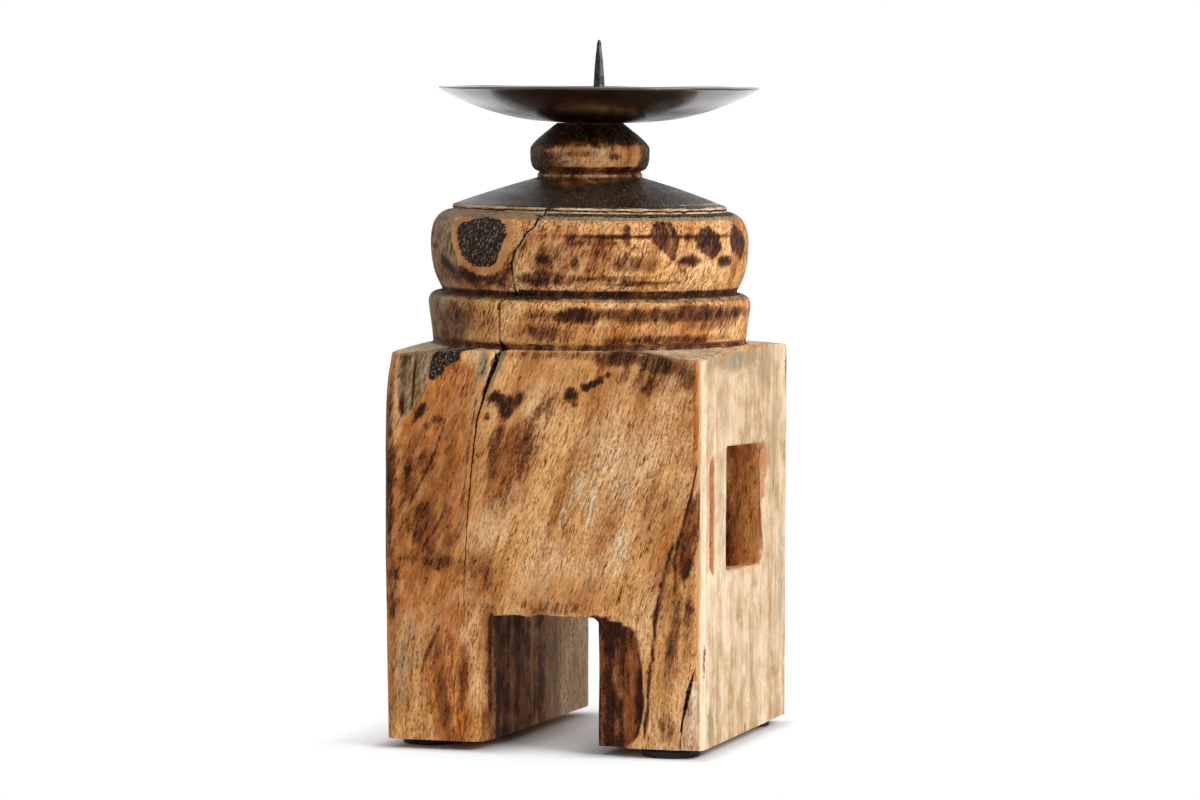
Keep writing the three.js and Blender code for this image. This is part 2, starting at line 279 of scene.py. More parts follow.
# The drying crack and the split at the right foot, as heights and places across the front
CRACK_HEIGHTS = [
    52, 57.9, 88.2, 103.9, 117.1, 128.6, 133.9, 139.2, 146.7, 154.4, 157, 172.2, 173.8, 186.5, 190.8,
    195.2, 198, 200.9, 203.5, 208, 211,
]
CRACK_PLACES = [
    CRACK_COLUMN, -31.1, -29.5, -28.2, -27.3, -25.5, -23.9, -22.2, -19.5, -17.4, -18.9, -17.8, -13.2,
    -13.1, -11.9, -8.6, -7.4, -3.8, -3.1, -0.5, -0.5,
]
SPLIT_HEIGHTS = [2.5, 8.3, 14.1, 19.4, 26.8, 31.6, 35.8, 48]
SPLIT_PLACES = [55.0, 55.3, 55.5, 56.7, 58.2, 60.0, 61.6, SPLIT_COLUMN]
SCOOP = [
    (20, 2), (32.5, 2), (37.8, 7.6), (38.9, 10.3), (40.2, 15.6), (40.4, 22.4), (39.3, 36.6),
    (38.5, 44.4), (36, 48.6), (32.2, 50.2), (24, 52.4), (20, 53.2),
]

# The turned profile: (end radius, end height, bend radius, bend height, rows), straight without a bend
PROFILE = [
    (63.0, 169.2, None, None, 12),
    (57.2, 174.0, 63.0, 174.0, 7),
    (62.1, 192.6, 62.1, 181.0, 17),
    (55.0, 205.3, 62.1, 203.5, 13),
    (53.5, 205.3, None, None, 4),
    (53.5, 207.3, None, None, 7),
    (21.6, 217.9, 37.5, 213.5, 16),
    (20.4, 218.3, None, None, 2),
    (20.5, 219.6, 21.0, 219.0, 4),
    (19.9, 220.3, 20.0, 219.9, 3),
    (23.4, 225.4, 23.0, 220.6, 9),
    (23.5, 229.3, None, None, 6),
    (SEAT_RADIUS, SEAT, 22.9, 232.2, 14),
]


def crack_place(height):
    """Where the crack crosses the front at a height, and where its columns go above and below it."""
    return np.interp(height, CRACK_HEIGHTS, CRACK_PLACES)


def split_place(height):
    """Where the split at the right foot crosses the front at a height."""
    return np.interp(height, SPLIT_HEIGHTS, SPLIT_PLACES)


# %% Columns and directions
front = ticks(FRONT_MARKS, FRONT_STEPS)
right = ticks(RIGHT_MARKS, RIGHT_STEPS)
back = ticks(BACK_MARKS, BACK_STEPS)
left = ticks(LEFT_MARKS, LEFT_STEPS)
counts = [len(front), len(right), len(back), len(left)]
COLUMNS = sum(counts)
side_start = np.cumsum([0] + counts)


def outline(height):
    """The block's square outline at each column for an array of heights [row, column], before wear: the
    place along each side is fixed, but front columns slide sideways with the crack and with the split. A
    slide is whole at its own column and falls off in a straight line to the marks on either side."""
    near_crack = np.interp(front, [-EDGE_X, *CRACK_BAND, SLOT_RIGHT], [0, 1, 1, 0])
    near_split = np.interp(front, [SCOOP_RIGHT, *SPLIT_BAND, HALF_X], [0, 1, 1, 0])
    up = height[:, : counts[0]]
    x_front = front + near_crack * (crack_place(up) - CRACK_COLUMN)
    x_front = x_front + near_split * (split_place(up) - SPLIT_COLUMN)
    x_rest = np.concatenate([np.full(counts[1], HALF_X), back, np.full(counts[3], -HALF_X)])
    x = np.concatenate([x_front, np.tile(x_rest, (len(height), 1))], axis=1)
    y_row = np.concatenate([np.full(counts[0], -HALF_Y), right, np.full(counts[2], HALF_Y), left])
    return x, np.tile(y_row, (len(height), 1))


print("columns round the post:", counts, "in all", COLUMNS)


# %% The block's sides
WORN_RADIUS, WORN_UNEVEN = 2.5, 0.9
LEFT_WEAR, LEFT_TOP_WEAR, RIGHT_WEAR = 2.2, 4.0, 2.4
DRAWN_IN_FOOT, DRAWN_IN_TOP = 1.2, 1.6


def worn_block(height):
    """Points of the block's sides at an array of heights: each outline point within the worn radius of a
    corner is carried to the arc of that radius, along the line from the arc's centre. The front left edge
    is the most worn, most of all near its top, and the left side draws in a little at foot and top."""
    x, y = outline(height)
    flat = np.stack([x, y, height], axis=-1).reshape(-1, 3)
    to_left, to_right, to_front = (smoothstep(20, 50, way) for way in (-x, x, -y))
    radius = WORN_RADIUS + WORN_UNEVEN * noise(flat, (200, 200, 19), 11, 2).reshape(x.shape)
    radius = radius + to_left * to_front * (LEFT_WEAR + LEFT_TOP_WEAR * smoothstep(128, 154, height))
    radius = radius + RIGHT_WEAR * to_right * to_front
    inner_x = np.clip(x, -HALF_X + radius, HALF_X - radius)
    inner_y = np.clip(y, -HALF_Y + radius, HALF_Y - radius)
    away = np.hypot(x - inner_x, y - inner_y)
    x = inner_x + (x - inner_x) * radius / away
    y = inner_y + (y - inner_y) * radius / away
    drawn_in = DRAWN_IN_FOOT * (1 - smoothstep(0, 75, height)) + DRAWN_IN_TOP * smoothstep(140, 156, height)
    x = x + drawn_in * np.clip(-x / HALF_X, 0, 1) ** 3
    return np.stack([x, y, height], axis=-1)


def pommel(radius):
    """Height of the block's top at a distance from the axis: a shallow cone."""
    return BLOCK_TOP - POMMEL_FALL * (radius - POMMEL_INNER) / POMMEL_RUN


low_rows = ticks(ROW_MARKS, ROW_STEPS)[:, None] + np.zeros(COLUMNS)
edge = worn_block(np.full((1, COLUMNS), BLOCK_TOP))[0]
edge_height = pommel(np.hypot(edge[:, 0], edge[:, 1]))
rise = np.linspace(0, 1, TOP_EDGE_ROWS + 1)[:, None]
heights = np.concatenate([low_rows, ROW_MARKS[-1] + rise * (edge_height - ROW_MARKS[-1])])
block = worn_block(heights)
slot_row = ROW_STEPS[0] + ROW_STEPS[1]
sill_row = slot_row + ROW_STEPS[2]
head_row = sill_row + ROW_STEPS[3]

# The edge over the slot is ragged, where fibres broke out as it was sawn
slot_first = sum(FRONT_STEPS[:4])
slot_last = slot_first + FRONT_STEPS[4]
SLOT_RAG, SLOT_RAG_REACH = 0.9, 9
block_x, block_y, block_z = np.moveaxis(block, -1, 0)
over_slot = smoothstep(SLOT_LEFT, SLOT_LEFT + 3, block_x) * smoothstep(SLOT_RIGHT, SLOT_RIGHT - 3, block_x)
fade = np.clip(1 - (block_z - SLOT_TOP) / SLOT_RAG_REACH, 0, 1) * (block_z >= SLOT_TOP - 1e-6)
ragged = SLOT_RAG * noise(block.reshape(-1, 3) * [1, 0, 0], 5.5, 21, 2).reshape(fade.shape) - 0.2
block_z += (over_slot * fade * ragged) * (block_y < 0)
# The mortise was cut a little out of level: lower towards the back
out_of_level = np.interp(block_y, [MORTISE_FRONT, MORTISE_REAR, EDGE_Y], [0, 1, 0]) * (block_x > HALF_X - 3)
beside_mortise = np.interp(block_z, [SLOT_TOP, MORTISE_SILL, MORTISE_HEAD, TOP_ROW], [0, 1, 1, 0])
block_z -= MORTISE_DROP * out_of_level * beside_mortise
print("block rows", len(block), "top edge from", edge_height.min().round(2), "to", edge_height.max().round(2))

# %% [markdown]
# ## The turned part
#
# A lathe cuts a profile: straight stretches, rolls and hollows, here as short quadratic curves. The rows
# of the grid follow it. On the real post the rings lean a little, because the timber moved as it dried,
# so the rings are lower on the right, and the lean fades out towards the knob, where the pan sits level.


# %% Ledge, rings, shoulder, knob and socket
def turned_rows():
    """Radius and height of each row of the profile, from the ring's foot to the seat. Along a stretch
    with start s, bend b and end e, the point at t is (1-t)^2 s + 2t(1-t) b + t^2 e."""
    start = np.array([RING_FOOT, pommel(RING_FOOT)])
    rows = []
    for radius, height, bend_radius, bend_height, steps in PROFILE:
        end = np.array([radius, height])
        bend = (start + end) / 2 if bend_radius is None else np.array([bend_radius, bend_height])
        t = np.linspace(0, 1, steps, endpoint=False)[:, None]
        rows.append((1 - t) ** 2 * start + 2 * t * (1 - t) * bend + t**2 * end)
        start = end
    return np.concatenate(rows + [start[None]])


def square_radius(angle, half):
    """Distance from the middle of a square to its side in a direction, with the spike's turn."""
    return half / np.maximum(np.abs(np.cos(angle - SPIKE_TURN)), np.abs(np.sin(angle - SPIKE_TURN)))


RING_LEAN, LEAN_STARTS, LEAN_ENDS = 0.0105, (154, 158), (206, 220)
LEAN_TOWARDS = np.array([math.cos(CAMERA_SIDE), math.sin(CAMERA_SIDE)])

profile = turned_rows()
turned_height = np.repeat(profile[:, 1:], COLUMNS, axis=1)
station_x, station_y = outline(turned_height)
angle = np.arctan2(station_y, station_x)
turned = np.stack([profile[:, :1] * np.cos(angle), profile[:, :1] * np.sin(angle), turned_height], axis=-1)


def lean_of(places):
    """How much lower the leaning rings make a point, in mm."""
    height = places[..., 2]
    slope = RING_LEAN * (1 - smoothstep(*LEAN_ENDS, height)) * smoothstep(*LEAN_STARTS, height)
    return slope * (places[..., :2] @ LEAN_TOWARDS)


turned[..., 2] -= lean_of(turned)

inwards = np.linspace(0, 1, LEDGE_ROWS + 1)[1:-1, None, None]
ledge = block[-1] + inwards * (turned[0] - block[-1])
ledge[..., 2] = pommel(np.hypot(ledge[..., 0], ledge[..., 1]))

seat_angle = angle[-1]
socket_floor = spike_low[2] - SOCKET_SPARE
mouth = around_axis(PAN_AXIS, square_radius(seat_angle, SOCKET_HALF), seat_angle, SEAT)
foot = around_axis(PAN_AXIS, square_radius(seat_angle, SOCKET_END_HALF), seat_angle, socket_floor)
seat = turned[-1] + np.linspace(0, 1, SEAT_ROWS + 1)[1:, None, None] * (mouth - turned[-1])
socket = mouth + np.linspace(0, 1, SOCKET_ROWS + 1)[1:, None, None] * (foot - mouth)
skin = np.concatenate([block, ledge, turned, seat, socket])
print("rows up the post:", len(skin), "profile rows", len(profile))

# %% [markdown]
# ## Slot and mortise
#
# The slot runs through the foot and the mortise is a blind hole for the rail of the furniture that the
# post came from. Their quads are left out of the skin, and patches that start and end on the skin's own
# points line them. Points in the same place are then merged, so the whole post is one closed mesh.

# %% Patches and one merged mesh
OUTSIDE, SLOT, MORTISE, SOCKET = range(4)
right_first = side_start[1] + sum(RIGHT_STEPS[:4])
right_last = right_first + RIGHT_STEPS[4]
back_first = side_start[2] + sum(BACK_STEPS[:2])
back_last = back_first + BACK_STEPS[2]
through = np.linspace(0, 1, SLOT_DEPTH_STEPS + 1)
into = np.linspace(0, 1, MORTISE_DEPTH_STEPS + 1)


def between(start, end, share):
    """Points at each share of the way from one row of points to another, as [share, point]."""
    return start + share[:, None, None] * (end - start)


slot_front = skin[: slot_row + 1, slot_first : slot_last + 1]
slot_back = skin[: slot_row + 1, back_first : back_last + 1][:, ::-1]
left_wall = between(slot_front[:, 0], slot_back[:, 0], through).transpose(1, 0, 2)
right_wall = between(slot_back[:, -1], slot_front[:, -1], through).transpose(1, 0, 2)
roof = between(slot_back[-1], slot_front[-1], through)

opening = skin[sill_row : head_row + 1, right_first : right_last + 1]
mortise_floor = opening.copy()
mortise_floor[..., 0] = MORTISE_FLOOR
mortise_floor[..., 2] -= SILL_FALL * np.linspace(1, 0, len(opening))[:, None]
sill = between(opening[0], mortise_floor[0], into)
head = between(mortise_floor[-1], opening[-1], into)
front_jamb = between(opening[:, 0], mortise_floor[:, 0], into).transpose(1, 0, 2)
rear_jamb = between(mortise_floor[:, -1], opening[:, -1], into).transpose(1, 0, 2)

patches = [
    (skin, OUTSIDE), (left_wall, SLOT), (right_wall, SLOT), (roof, SLOT), (sill, MORTISE), (head, MORTISE),
    (front_jamb, MORTISE), (rear_jamb, MORTISE), (mortise_floor, MORTISE),
]
sizes = [grid.shape[0] * grid.shape[1] for grid, _ in patches]
all_points = np.concatenate([grid.reshape(-1, 3) for grid, _ in patches])
regions = np.concatenate([np.full(size, kind) for size, (_, kind) in zip(sizes, patches)])
regions[: sizes[0]].reshape(-1, COLUMNS)[-SOCKET_ROWS:] = SOCKET
_, first, merged = np.unique(np.round(all_points, 4), axis=0, return_index=True, return_inverse=True)
merged = merged.reshape(-1)
points = all_points[first]
region = regions[first]

starts = np.cumsum([0] + sizes)
grids = [merged[s : s + n].reshape(grid.shape[:2]) for s, n, (grid, _) in zip(starts, sizes, patches)]
skin_index = grids[0]
kept = np.ones((skin.shape[0] - 1, COLUMNS), bool)
kept[:slot_row, slot_first:slot_last] = False
kept[:slot_row, back_first:back_last] = False
kept[sill_row:head_row, right_first:right_last] = False
outer_quads = grid_faces(skin_index, around=True)[kept.reshape(-1)]
quads = np.concatenate([outer_quads] + [grid_faces(grid) for grid in grids[1:]])
foot_ring = skin_index[0]
left_leg = np.concatenate([foot_ring[back_last:], foot_ring[: slot_first + 1], grids[1][0, 1:-1]])[::-1]
right_leg = np.concatenate([foot_ring[slot_last : back_first + 1], grids[2][0, 1:-1]])[::-1]
socket_end = len(points)
points = np.concatenate([points, [[*PAN_AXIS, socket_floor]]])
region = np.append(region, SOCKET)
socket_fan = fan(skin_index[-1], socket_end)
print("post points", len(points), "quads", len(quads))

# %% [markdown]
# ## Wear
#
# Years of use took the sharpness off every edge. Moving each point towards the middle of its neighbours a
# few times does the same. Then the surface is pushed in along its normal: broad waves of the drying
# timber, fine upright ridges where soft grain wore faster, and the crack, the split, the gauge mark and
# the weathered corner. The scoop is cut straight back from the front. All of it goes inwards, so that the
# post stays within its real size.


# %% Soften the edges
def smoothed(points, quads, share, rounds):
    """Moves each point by its share towards the mean of the points that an edge joins it to, a few times
    over."""
    edges = np.concatenate([quads[:, [a, (a + 1) % 4]] for a in range(4)])
    edges = np.unique(np.sort(edges, axis=1), axis=0)
    a = np.concatenate([edges[:, 0], edges[:, 1]])
    b = np.concatenate([edges[:, 1], edges[:, 0]])
    near = np.maximum(np.bincount(a, minlength=len(points)), 1)[:, None]
    for _ in range(rounds):
        total = np.stack([np.bincount(a, points[b, axis], len(points)) for axis in range(3)], axis=1)
        points = points + share[:, None] * (total / near - points)
    return points


def normals_of(points, quads):
    """Each point's normal: the mean of its quads' normals, which are the cross products of the
    diagonals."""
    cross = np.cross(points[quads[:, 2]] - points[quads[:, 0]], points[quads[:, 3]] - points[quads[:, 1]])
    total = np.zeros_like(points)
    for corner in range(4):
        for axis in range(3):
            total[:, axis] += np.bincount(quads[:, corner], cross[:, axis], len(points))
    return total / np.maximum(np.linalg.norm(total, axis=1, keepdims=True), 1e-9)


SOFT_BLOCK, SOFT_TURNED, SOFT_ROUNDS = 0.5, 0.25, 3
softness = np.where(points[:, 2] < 150, SOFT_BLOCK, SOFT_TURNED)
softness[(region == SOCKET) | (points[:, 2] > SEAT - 3)] = 0
soft = smoothed(points, quads, softness, SOFT_ROUNDS)
soft[:, 2] = np.maximum(soft[:, 2], UNDERSIDE)
normal = normals_of(soft, quads)
print("edges softened by up to", np.linalg.norm(soft - points, axis=1).max().round(2), "mm")

# %% Waves and ridges
WAVE_DEPTH, RIDGE_DEPTH = 0.22, 0.13
x, y, z = soft.T
outside = region == OUTSIDE
in_slot = region == SLOT
on_block = z < 152
facing_front = outside & (y < 0) & (np.abs(x) * HALF_Y < -y * (HALF_X - 0.2))
facing_right = outside & (x > 0) & (np.abs(y) * HALF_X < x * (HALF_Y - 0.2)) & on_block
front_place = x * HALF_Y / np.maximum(-y, 1)

wave = WAVE_DEPTH * (1 + noise(soft, 26, 31, 3))
ridge = RIDGE_DEPTH * (1 + noise(soft, (1.9, 1.9, 17), 41, 2))
ridge = ridge * np.where(on_block, 1, 0.55)
depth = (wave * np.where(on_block, 1, 0.7) + ridge) * (region != SOCKET) * smoothstep(SEAT, SEAT - 3, z)
print("points that face the front:", int(facing_front.sum()), "and the right:", int(facing_right.sum()))

# %% The drying crack and its worn lip
LIP_BLOCK, LIP_RING, LIP_PARTING = 1.3, 0.8, 155
CRACK_WIDTHS = [
    0, 0.25, 0.45, 0.6, 0.7, 0.8, 1.0, 1.5, 2.0, 2.0, 1.2, 1.1, 0.9, 0.8, 0.9, 1.0, 1.0, 1.0, 0.9, 0.7,
    0,
]
CRACK_DEPTHS = [0, 0.3, 0.7, 1, 1.2, 2, 3, 4, 5, 5, 4, 4, 4, 3.5, 3.5, 3.5, 3.5, 3.5, 3, 2, 0]
crack_width = np.interp(z, CRACK_HEIGHTS, CRACK_WIDTHS)
crack_wander = 0.35 * noise(soft * [0, 0, 1], 6, 43, 2)
crack_side = front_place - crack_place(z) - crack_wander
crack = np.clip(1 - np.abs(crack_side) / np.maximum(crack_width / 2, 1e-6), 0, 1) ** 0.6 * facing_front
depth += crack * np.interp(z, CRACK_HEIGHTS, CRACK_DEPTHS)
lip_width = np.interp(z, [130, 150, 155, 178, 186, 205], [1.0, 2.8, 2.8, 0.8, 1.8, 2.2])
lip = np.clip(1 - (crack_side - crack_width / 2) / lip_width, 0, 1)
lip = lip * (crack_side > 0) * (z < 208) * facing_front
lip = lip * np.maximum(smoothstep(133, 150, z) * (z < LIP_PARTING), smoothstep(178, 186, z))
depth += np.where(z < LIP_PARTING, LIP_BLOCK, LIP_RING) * lip
print("widest crack", crack_width.max(), "mm")


# %% The scoop, the left leg's worn edge and the split
def inside(corners, across, height):
    """How far each point lies inside a convex outline, in mm, and less than 0 outside: the least distance
    to the lines through its sides. The corners go anticlockwise."""
    start = np.array(corners, float)
    along = np.roll(start, -1, axis=0) - start
    along = along / np.linalg.norm(along, axis=1, keepdims=True)
    off = np.stack([across, height], axis=1)[:, None, :] - start
    return (along[:, 0] * off[..., 1] - along[:, 1] * off[..., 0]).min(axis=1)


LEG_EDGE_DEPTH, SLIVER_DEPTH, SPLIT_DEPTH = 3.0, 0.9, 3.0
scoop_edge = inside(SCOOP, front_place, z) + 0.5 * noise(soft, 7, 45, 2)
scoop = smoothstep(-0.9, 0.9, scoop_edge) * facing_front
hollow = np.interp(front_place, [SLOT_RIGHT, 27, SCOOP_RIGHT], [SCOOP_DEEP, 4.2, 1.8])
hollow = hollow + 0.8 * noise(soft, (4, 4, 16), 47, 2)
under_arch = smoothstep(SLOT_TOP - 0.2, SLOT_TOP - 1.4, z)
behind = np.clip(1 - (y + HALF_Y) / SCOOP_RUN, 0, 1) * in_slot * (x > SLOT_RIGHT - 1)
cut_back = (scoop * hollow + SCOOP_DEEP * behind) * under_arch

leg_edge = np.where(in_slot, y + HALF_Y, SLOT_LEFT - front_place)
leg_edge = np.clip(1 - leg_edge / 8, 0, 1) ** 2 * (facing_front | in_slot)
leg_edge = leg_edge * (x < SLOT_LEFT + 3) * (z < SLOT_TOP + 4)
depth += LEG_EDGE_DEPTH * leg_edge * (y < -50)

split_half = np.interp(z, [3, 8, 14, 19.4, 26.8, 31.6, 35.8], [0.15, 0.25, 0.4, 0.75, 1.0, 0.4, 0])
split_off = front_place - split_place(z)
low_split = smoothstep(36, 32, z) * facing_front
sliver = smoothstep(0, 0.6, split_off) * low_split * smoothstep(31, 27, z)
split = np.clip(1.6 * (1 - np.abs(split_off) / np.maximum(split_half, 1e-6)), 0, 1) * low_split
depth += SLIVER_DEPTH * sliver + SPLIT_DEPTH * split
print("scoop cut back by up to", cut_back.max().round(2), "mm")

# %% The gauge mark, the chipped mortise and the weathered corner
GAUGE_DEPTH, CHIP_DEPTH, WEATHERED_DEPTH, FLUTE_DEPTH = 2.1, 3.0, 0.6, 0.8
gauge = np.interp(y, [MARK_FRONT, MARK_FRONT + 2, MARK_DEEP, MARK_REAR], [0, 0.6, 1, 0])
gauge = gauge * smoothstep(MORTISE_SILL - 3, MORTISE_SILL + 3, z)
gauge = gauge * smoothstep(MORTISE_HEAD + 1, MORTISE_HEAD - 6, z) * facing_right
depth += GAUGE_DEPTH * gauge
chip_width = np.interp(z, [68, 72, 100, 107, 112, 115], [0.1, 1.5, 5.0, 6.5, 3.5, 0.1])
chip = np.clip(1 - (y - MORTISE_REAR) / chip_width, 0, 1) * (y > MORTISE_REAR - 0.6) * facing_right
chip = chip * smoothstep(66, 70, z) * smoothstep(116, 113, z)
depth += CHIP_DEPTH * chip

# The weathered corner has flutes where the soft grain is gone
WEATHERED = [
    (-58.5, 137), (-57.2, 127.6), (-54, 126.9), (-50.6, 132.4), (-47.9, 136.3), (-45.6, 142.5),
    (-43.4, 150.7), (-43.2, 156), (-57.5, 156), (-58.6, 143),
]
FLUTES, FLUTE_LEAN, FLUTE_MIDDLE = [(-55.9, 1.7), (-51.4, 0.7)], 0.06, 139.6
weathered = smoothstep(-0.4, 0.8, inside(WEATHERED, front_place, z)) * facing_front
flute_place = front_place - FLUTE_LEAN * (z - FLUTE_MIDDLE)
flutes = [smoothstep(half, 0.3 * half, np.abs(flute_place - place)) for place, half in FLUTES]
flute = np.max(flutes, axis=0) * weathered
depth += WEATHERED_DEPTH * weathered + FLUTE_DEPTH * flute

worn = soft - normal * depth[:, None]
worn[:, 1] += cut_back
worn[:, 2] = np.maximum(worn[:, 2], UNDERSIDE)
post_faces = [quads, socket_fan, [left_leg.tolist()], [right_leg.tolist()]]
post = make_piece("timber_post", worn, post_faces, "stand", "post", 70)
print("deepest mark", depth.max().round(2), "mm")

# %% [markdown]
# ## Where the old finish is left
#
# The post was stained and lacquered once, and most of that was sanded off. What is left is the history of
# the piece: dark drops on the ring, soot on the shoulder, grey weathered wood at a corner, and pale raw
# wood on the right side. These are soft fields on the points, one for each finish. Most of it is blots,
# given one by one: where, how large, how far it leans and how strong. The material breaks their edges up
# along the grain. A painted picture would have to be unwrapped and stored, and fields need neither.

# %% Blots on the front, on the rings and on the other sides
# Each blot is (across, height, half width, half height, lean in degrees, strength), in mm. A stain is a
# light smudge at 0.3, brown at 0.6 and almost black at 1
# Along the rounded left edge, the orange at -61 and the stain at -61.5 are old stain with painted shade,
# where the edge turns from the lamp.
FRONT_BLOTS = {
    "orange": [
        (-45, 100, 26, 66, 8, 0.72), (-35, 142, 11, 11, 30, 0.95), (-61, 90, 4, 66, 0, 0.75),
        (-36.5, 24, 9.5, 29, -3, 1.2), (-36, 50, 6, 10, 15, 0.7), (5, 62, 34, 10, 0, 0.45),
        (15, 142, 40, 14, 0, 0.42), (61, 128, 1.8, 26, 0, 0.8), (53.2, 32.7, 1.3, 3, 0, 1.0),
        (57, 14, 4, 16, 8, 0.5), (-47, 88, 8, 12, 12, 0.9), (52, 80, 12, 26, 15, 0.5),
        (-12, 112, 13, 26, 22, 0.6),
    ],
    "grey": [
        (-23.5, 148, 2.6, 8, 10, 0.7), (-55, 30, 9, 26, 8, 0.4), (-20, 143, 1.6, 12, 17, 0.7),
        (-8, 108, 12, 30, 24, 0.2),
    ],
    "stain": [
        (-18.2, 135.4, 3.4, 2.2, -8, 1.2), (-55, 138, 1.1, 10, 5, 0.6),
        (-48.6, 129.3, 1.6, 4.4, 34, 1.3), (-42, 126.6, 2.6, 1.8, 0, 0.65), (-46, 124, 2.0, 1.5, 0, 0.7),
        (-14.6, 131.8, 4.6, 5.4, 16, 1.1), (-9.4, 134.6, 2.2, 4.4, 28, 1.0),
        (-21.6, 127.7, 1.5, 1.7, 0, 0.85), (-18.5, 118, 3.2, 12, 10, 0.6), (-10, 113, 9, 22, 26, 0.48),
        (1, 130, 5, 12, 26, 0.36), (-16, 101, 9, 11, 20, 0.46), (11.8, 137, 3.2, 3.0, 0, 1.3),
        (13, 133.6, 1.8, 1.6, 0, 0.7), (17.2, 139.9, 2.0, 1.6, 0, 1.3), (20.1, 141.2, 2.0, 1.5, 0, 1.3),
        (23.3, 142.7, 2.0, 1.3, 0, 1.3), (26.6, 144.3, 1.8, 1.2, 0, 1.2), (32, 151, 12, 4.2, -5, 0.9),
        (46, 149.5, 13, 5, 8, 0.85), (57.5, 146, 4.5, 7, -20, 0.55), (22, 152, 40, 2.2, 0, 0.5),
        (40, 144, 16, 7, 12, 0.46), (-50, 108, 6, 16, 22, 0.45), (-53.3, 105.5, 2.0, 4.0, 18, 0.75),
        (-47.5, 112, 2.6, 4, 30, 0.6), (-55, 98, 2, 7, 10, 0.5), (-49, 88, 7, 10, 15, 0.62),
        (-49.6, 82, 3.2, 4.2, 10, 0.85), (-42, 72, 9, 3.2, 0, 0.62), (-54, 73, 6, 2, 0, 0.5),
        (-58.5, 66.5, 1.4, 3, 0, 0.9), (-40, 80, 5, 12, 38, 0.42), (-61.5, 105, 3.4, 44, 0, 0.7),
        (-48, 96, 17, 40, 10, 0.26), (-60, 60, 3, 20, 0, 0.55), (-45, 37.5, 1.1, 10, 20, 0.72),
        (-37, 10, 2.2, 9, 0, 0.5), (-31, 30, 2.2, 16, 3, 0.45), (-40, 26, 2.6, 22, -4, 0.45),
        (60, 90, 3.0, 12, 20, 0.5), (49, 66, 2.0, 15, 13, 0.5), (52, 46, 3.0, 20, 8, 0.62),
        (58, 50, 2.4, 14, 6, 0.5), (50, 12, 4, 8, 0, 0.35), (44, 92, 7, 18, 22, 0.3),
        (-25, 70, 8, 12, 10, 0.3), (8, 56, 16, 3, 0, 0.36),
    ],
    "pale": [
        (20, 94, 2.6, 13, 12, 0.62), (31, 82, 2.6, 10, 12, 0.6), (12, 100, 5, 18, 14, 0.46),
        (28, 104, 22, 26, 8, 0.34), (-38, 93, 0.8, 15, 42, 0.7), (-55, 38, 3.5, 24, 8, 0.45),
    ],
}
# On the turned part the place across is measured round the ring, from the middle of the front
RING_BLOTS = {
    "orange": [
        (-27, 192, 20, 15, 0, 0.6), (10, 192, 24, 14, 0, 0.55), (20, 162, 60, 10, 0, 0.42),
        (140, 190, 40, 14, 0, 0.6), (-150, 165, 40, 12, 0, 0.6), (26, 211.5, 3, 1.6, 0, 0.9),
        (60, 209.8, 12, 0.7, 0, 0.8),
    ],
    "stain": [
        (-50, 185, 9, 3.0, 24, 1.0), (-33, 181, 13, 3.0, 0, 1.0), (-66, 190, 30, 16, 0, 0.2),
        (-66, 197, 20, 0.7, 0, 0.9), (-70, 191.6, 18, 0.7, 0, 0.8), (-62, 182, 24, 5, 0, 0.5),
        (-30, 181, 22, 5, 0, 0.8), (-14, 190, 3, 14, 12, 0.45), (12, 190, 22, 9, 0, 0.38),
        (59.5, 187.3, 7.0, 2.3, 0, 0.95), (80.5, 187, 6.4, 2.5, 0, 0.95), (36, 186.4, 14, 3.6, 0, 0.5),
        (40, 178.9, 16, 0.9, 0, 0.8), (1, 180.8, 16, 3.4, 0, 0.66), (24, 181, 18, 1.6, 0, 0.55),
        (0.5, 188.1, 3.2, 2.2, 0, 0.95), (13, 186.3, 2.4, 3.4, 0, 0.85), (52, 197.1, 52, 0.8, 0, 1.2),
        (14, 193.6, 20, 0.8, 0, 1.2), (60, 194.6, 30, 0.7, 0, 0.8), (17, 195, 11, 2.6, 0, 0.6),
        (50, 166.8, 60, 3.2, 0, 0.78), (15, 166.7, 14, 3.4, 0, 0.9), (62, 169, 20, 2.2, 0, 0.66),
        (-38, 165, 4.6, 3.8, 0, 0.8), (-48, 163, 30, 10, 0, 0.3), (0, 160.4, 14, 4, 0, 0.58),
        (50, 157.6, 34, 2.0, 0, 0.62), (70, 163, 20, 2, 0, 0.4), (128, 194, 20, 5, 0, 0.56),
        (165, 184, 26, 4, 0, 0.5), (-122, 196, 16, 4, 10, 0.56), (-150, 186, 18, 4, 0, 0.6),
        (-110, 166, 40, 2.5, 0, 0.65), (150, 166, 40, 2.5, 0, 0.65), (180, 181, 90, 2.2, 0, 0.6),
        (-160, 194, 60, 0.7, 0, 0.7), (10, 227.4, 22, 1.4, 0, 0.5), (44, 226.4, 7, 1.8, 0, 0.7),
    ],
    # The grey at -72 and -66, on the left of the rings, is grey weathering with painted shade on the side
    # turned from the lamp.
    "grey": [
        (-72, 190, 36, 22, 0, 1.5), (-66, 163, 40, 12, 0, 1.2), (175, 195, 26, 12, 0, 0.6),
    ],
    "pale": [
        (-14, 215.4, 10, 0.8, 6, 0.8),
    ],
}
RIGHT_BLOTS = {
    "grey": [
        (-15, 150, 44, 7, 0, 0.62), (26, 145, 16, 12, 5, 0.5), (52, 60, 6, 34, 0, 0.5),
        (-50, 10, 5, 12, 0, 0.66), (-40, 25, 3, 22, 4, 0.45), (40, 112, 7, 26, 3, 0.45),
        (8, 30, 4, 26, 3, 0.4), (-30, 128, 14, 12, 0, 0.36),
    ],
    "stain": [
        (60, 142, 2.5, 11, 0, 0.6), (-58, 36, 1.5, 6, 0, 0.5), (20, 122, 1.0, 6, 6, 0.6),
        (40, 95, 1.0, 5, 6, 0.5),
    ],
    "orange": [
        (-0.6, 4, 1.4, 5, 0, 0.9), (28, 108, 3.5, 10, 0, 0.7), (-49, 92, 1.6, 22, 0, 0.4),
    ],
}
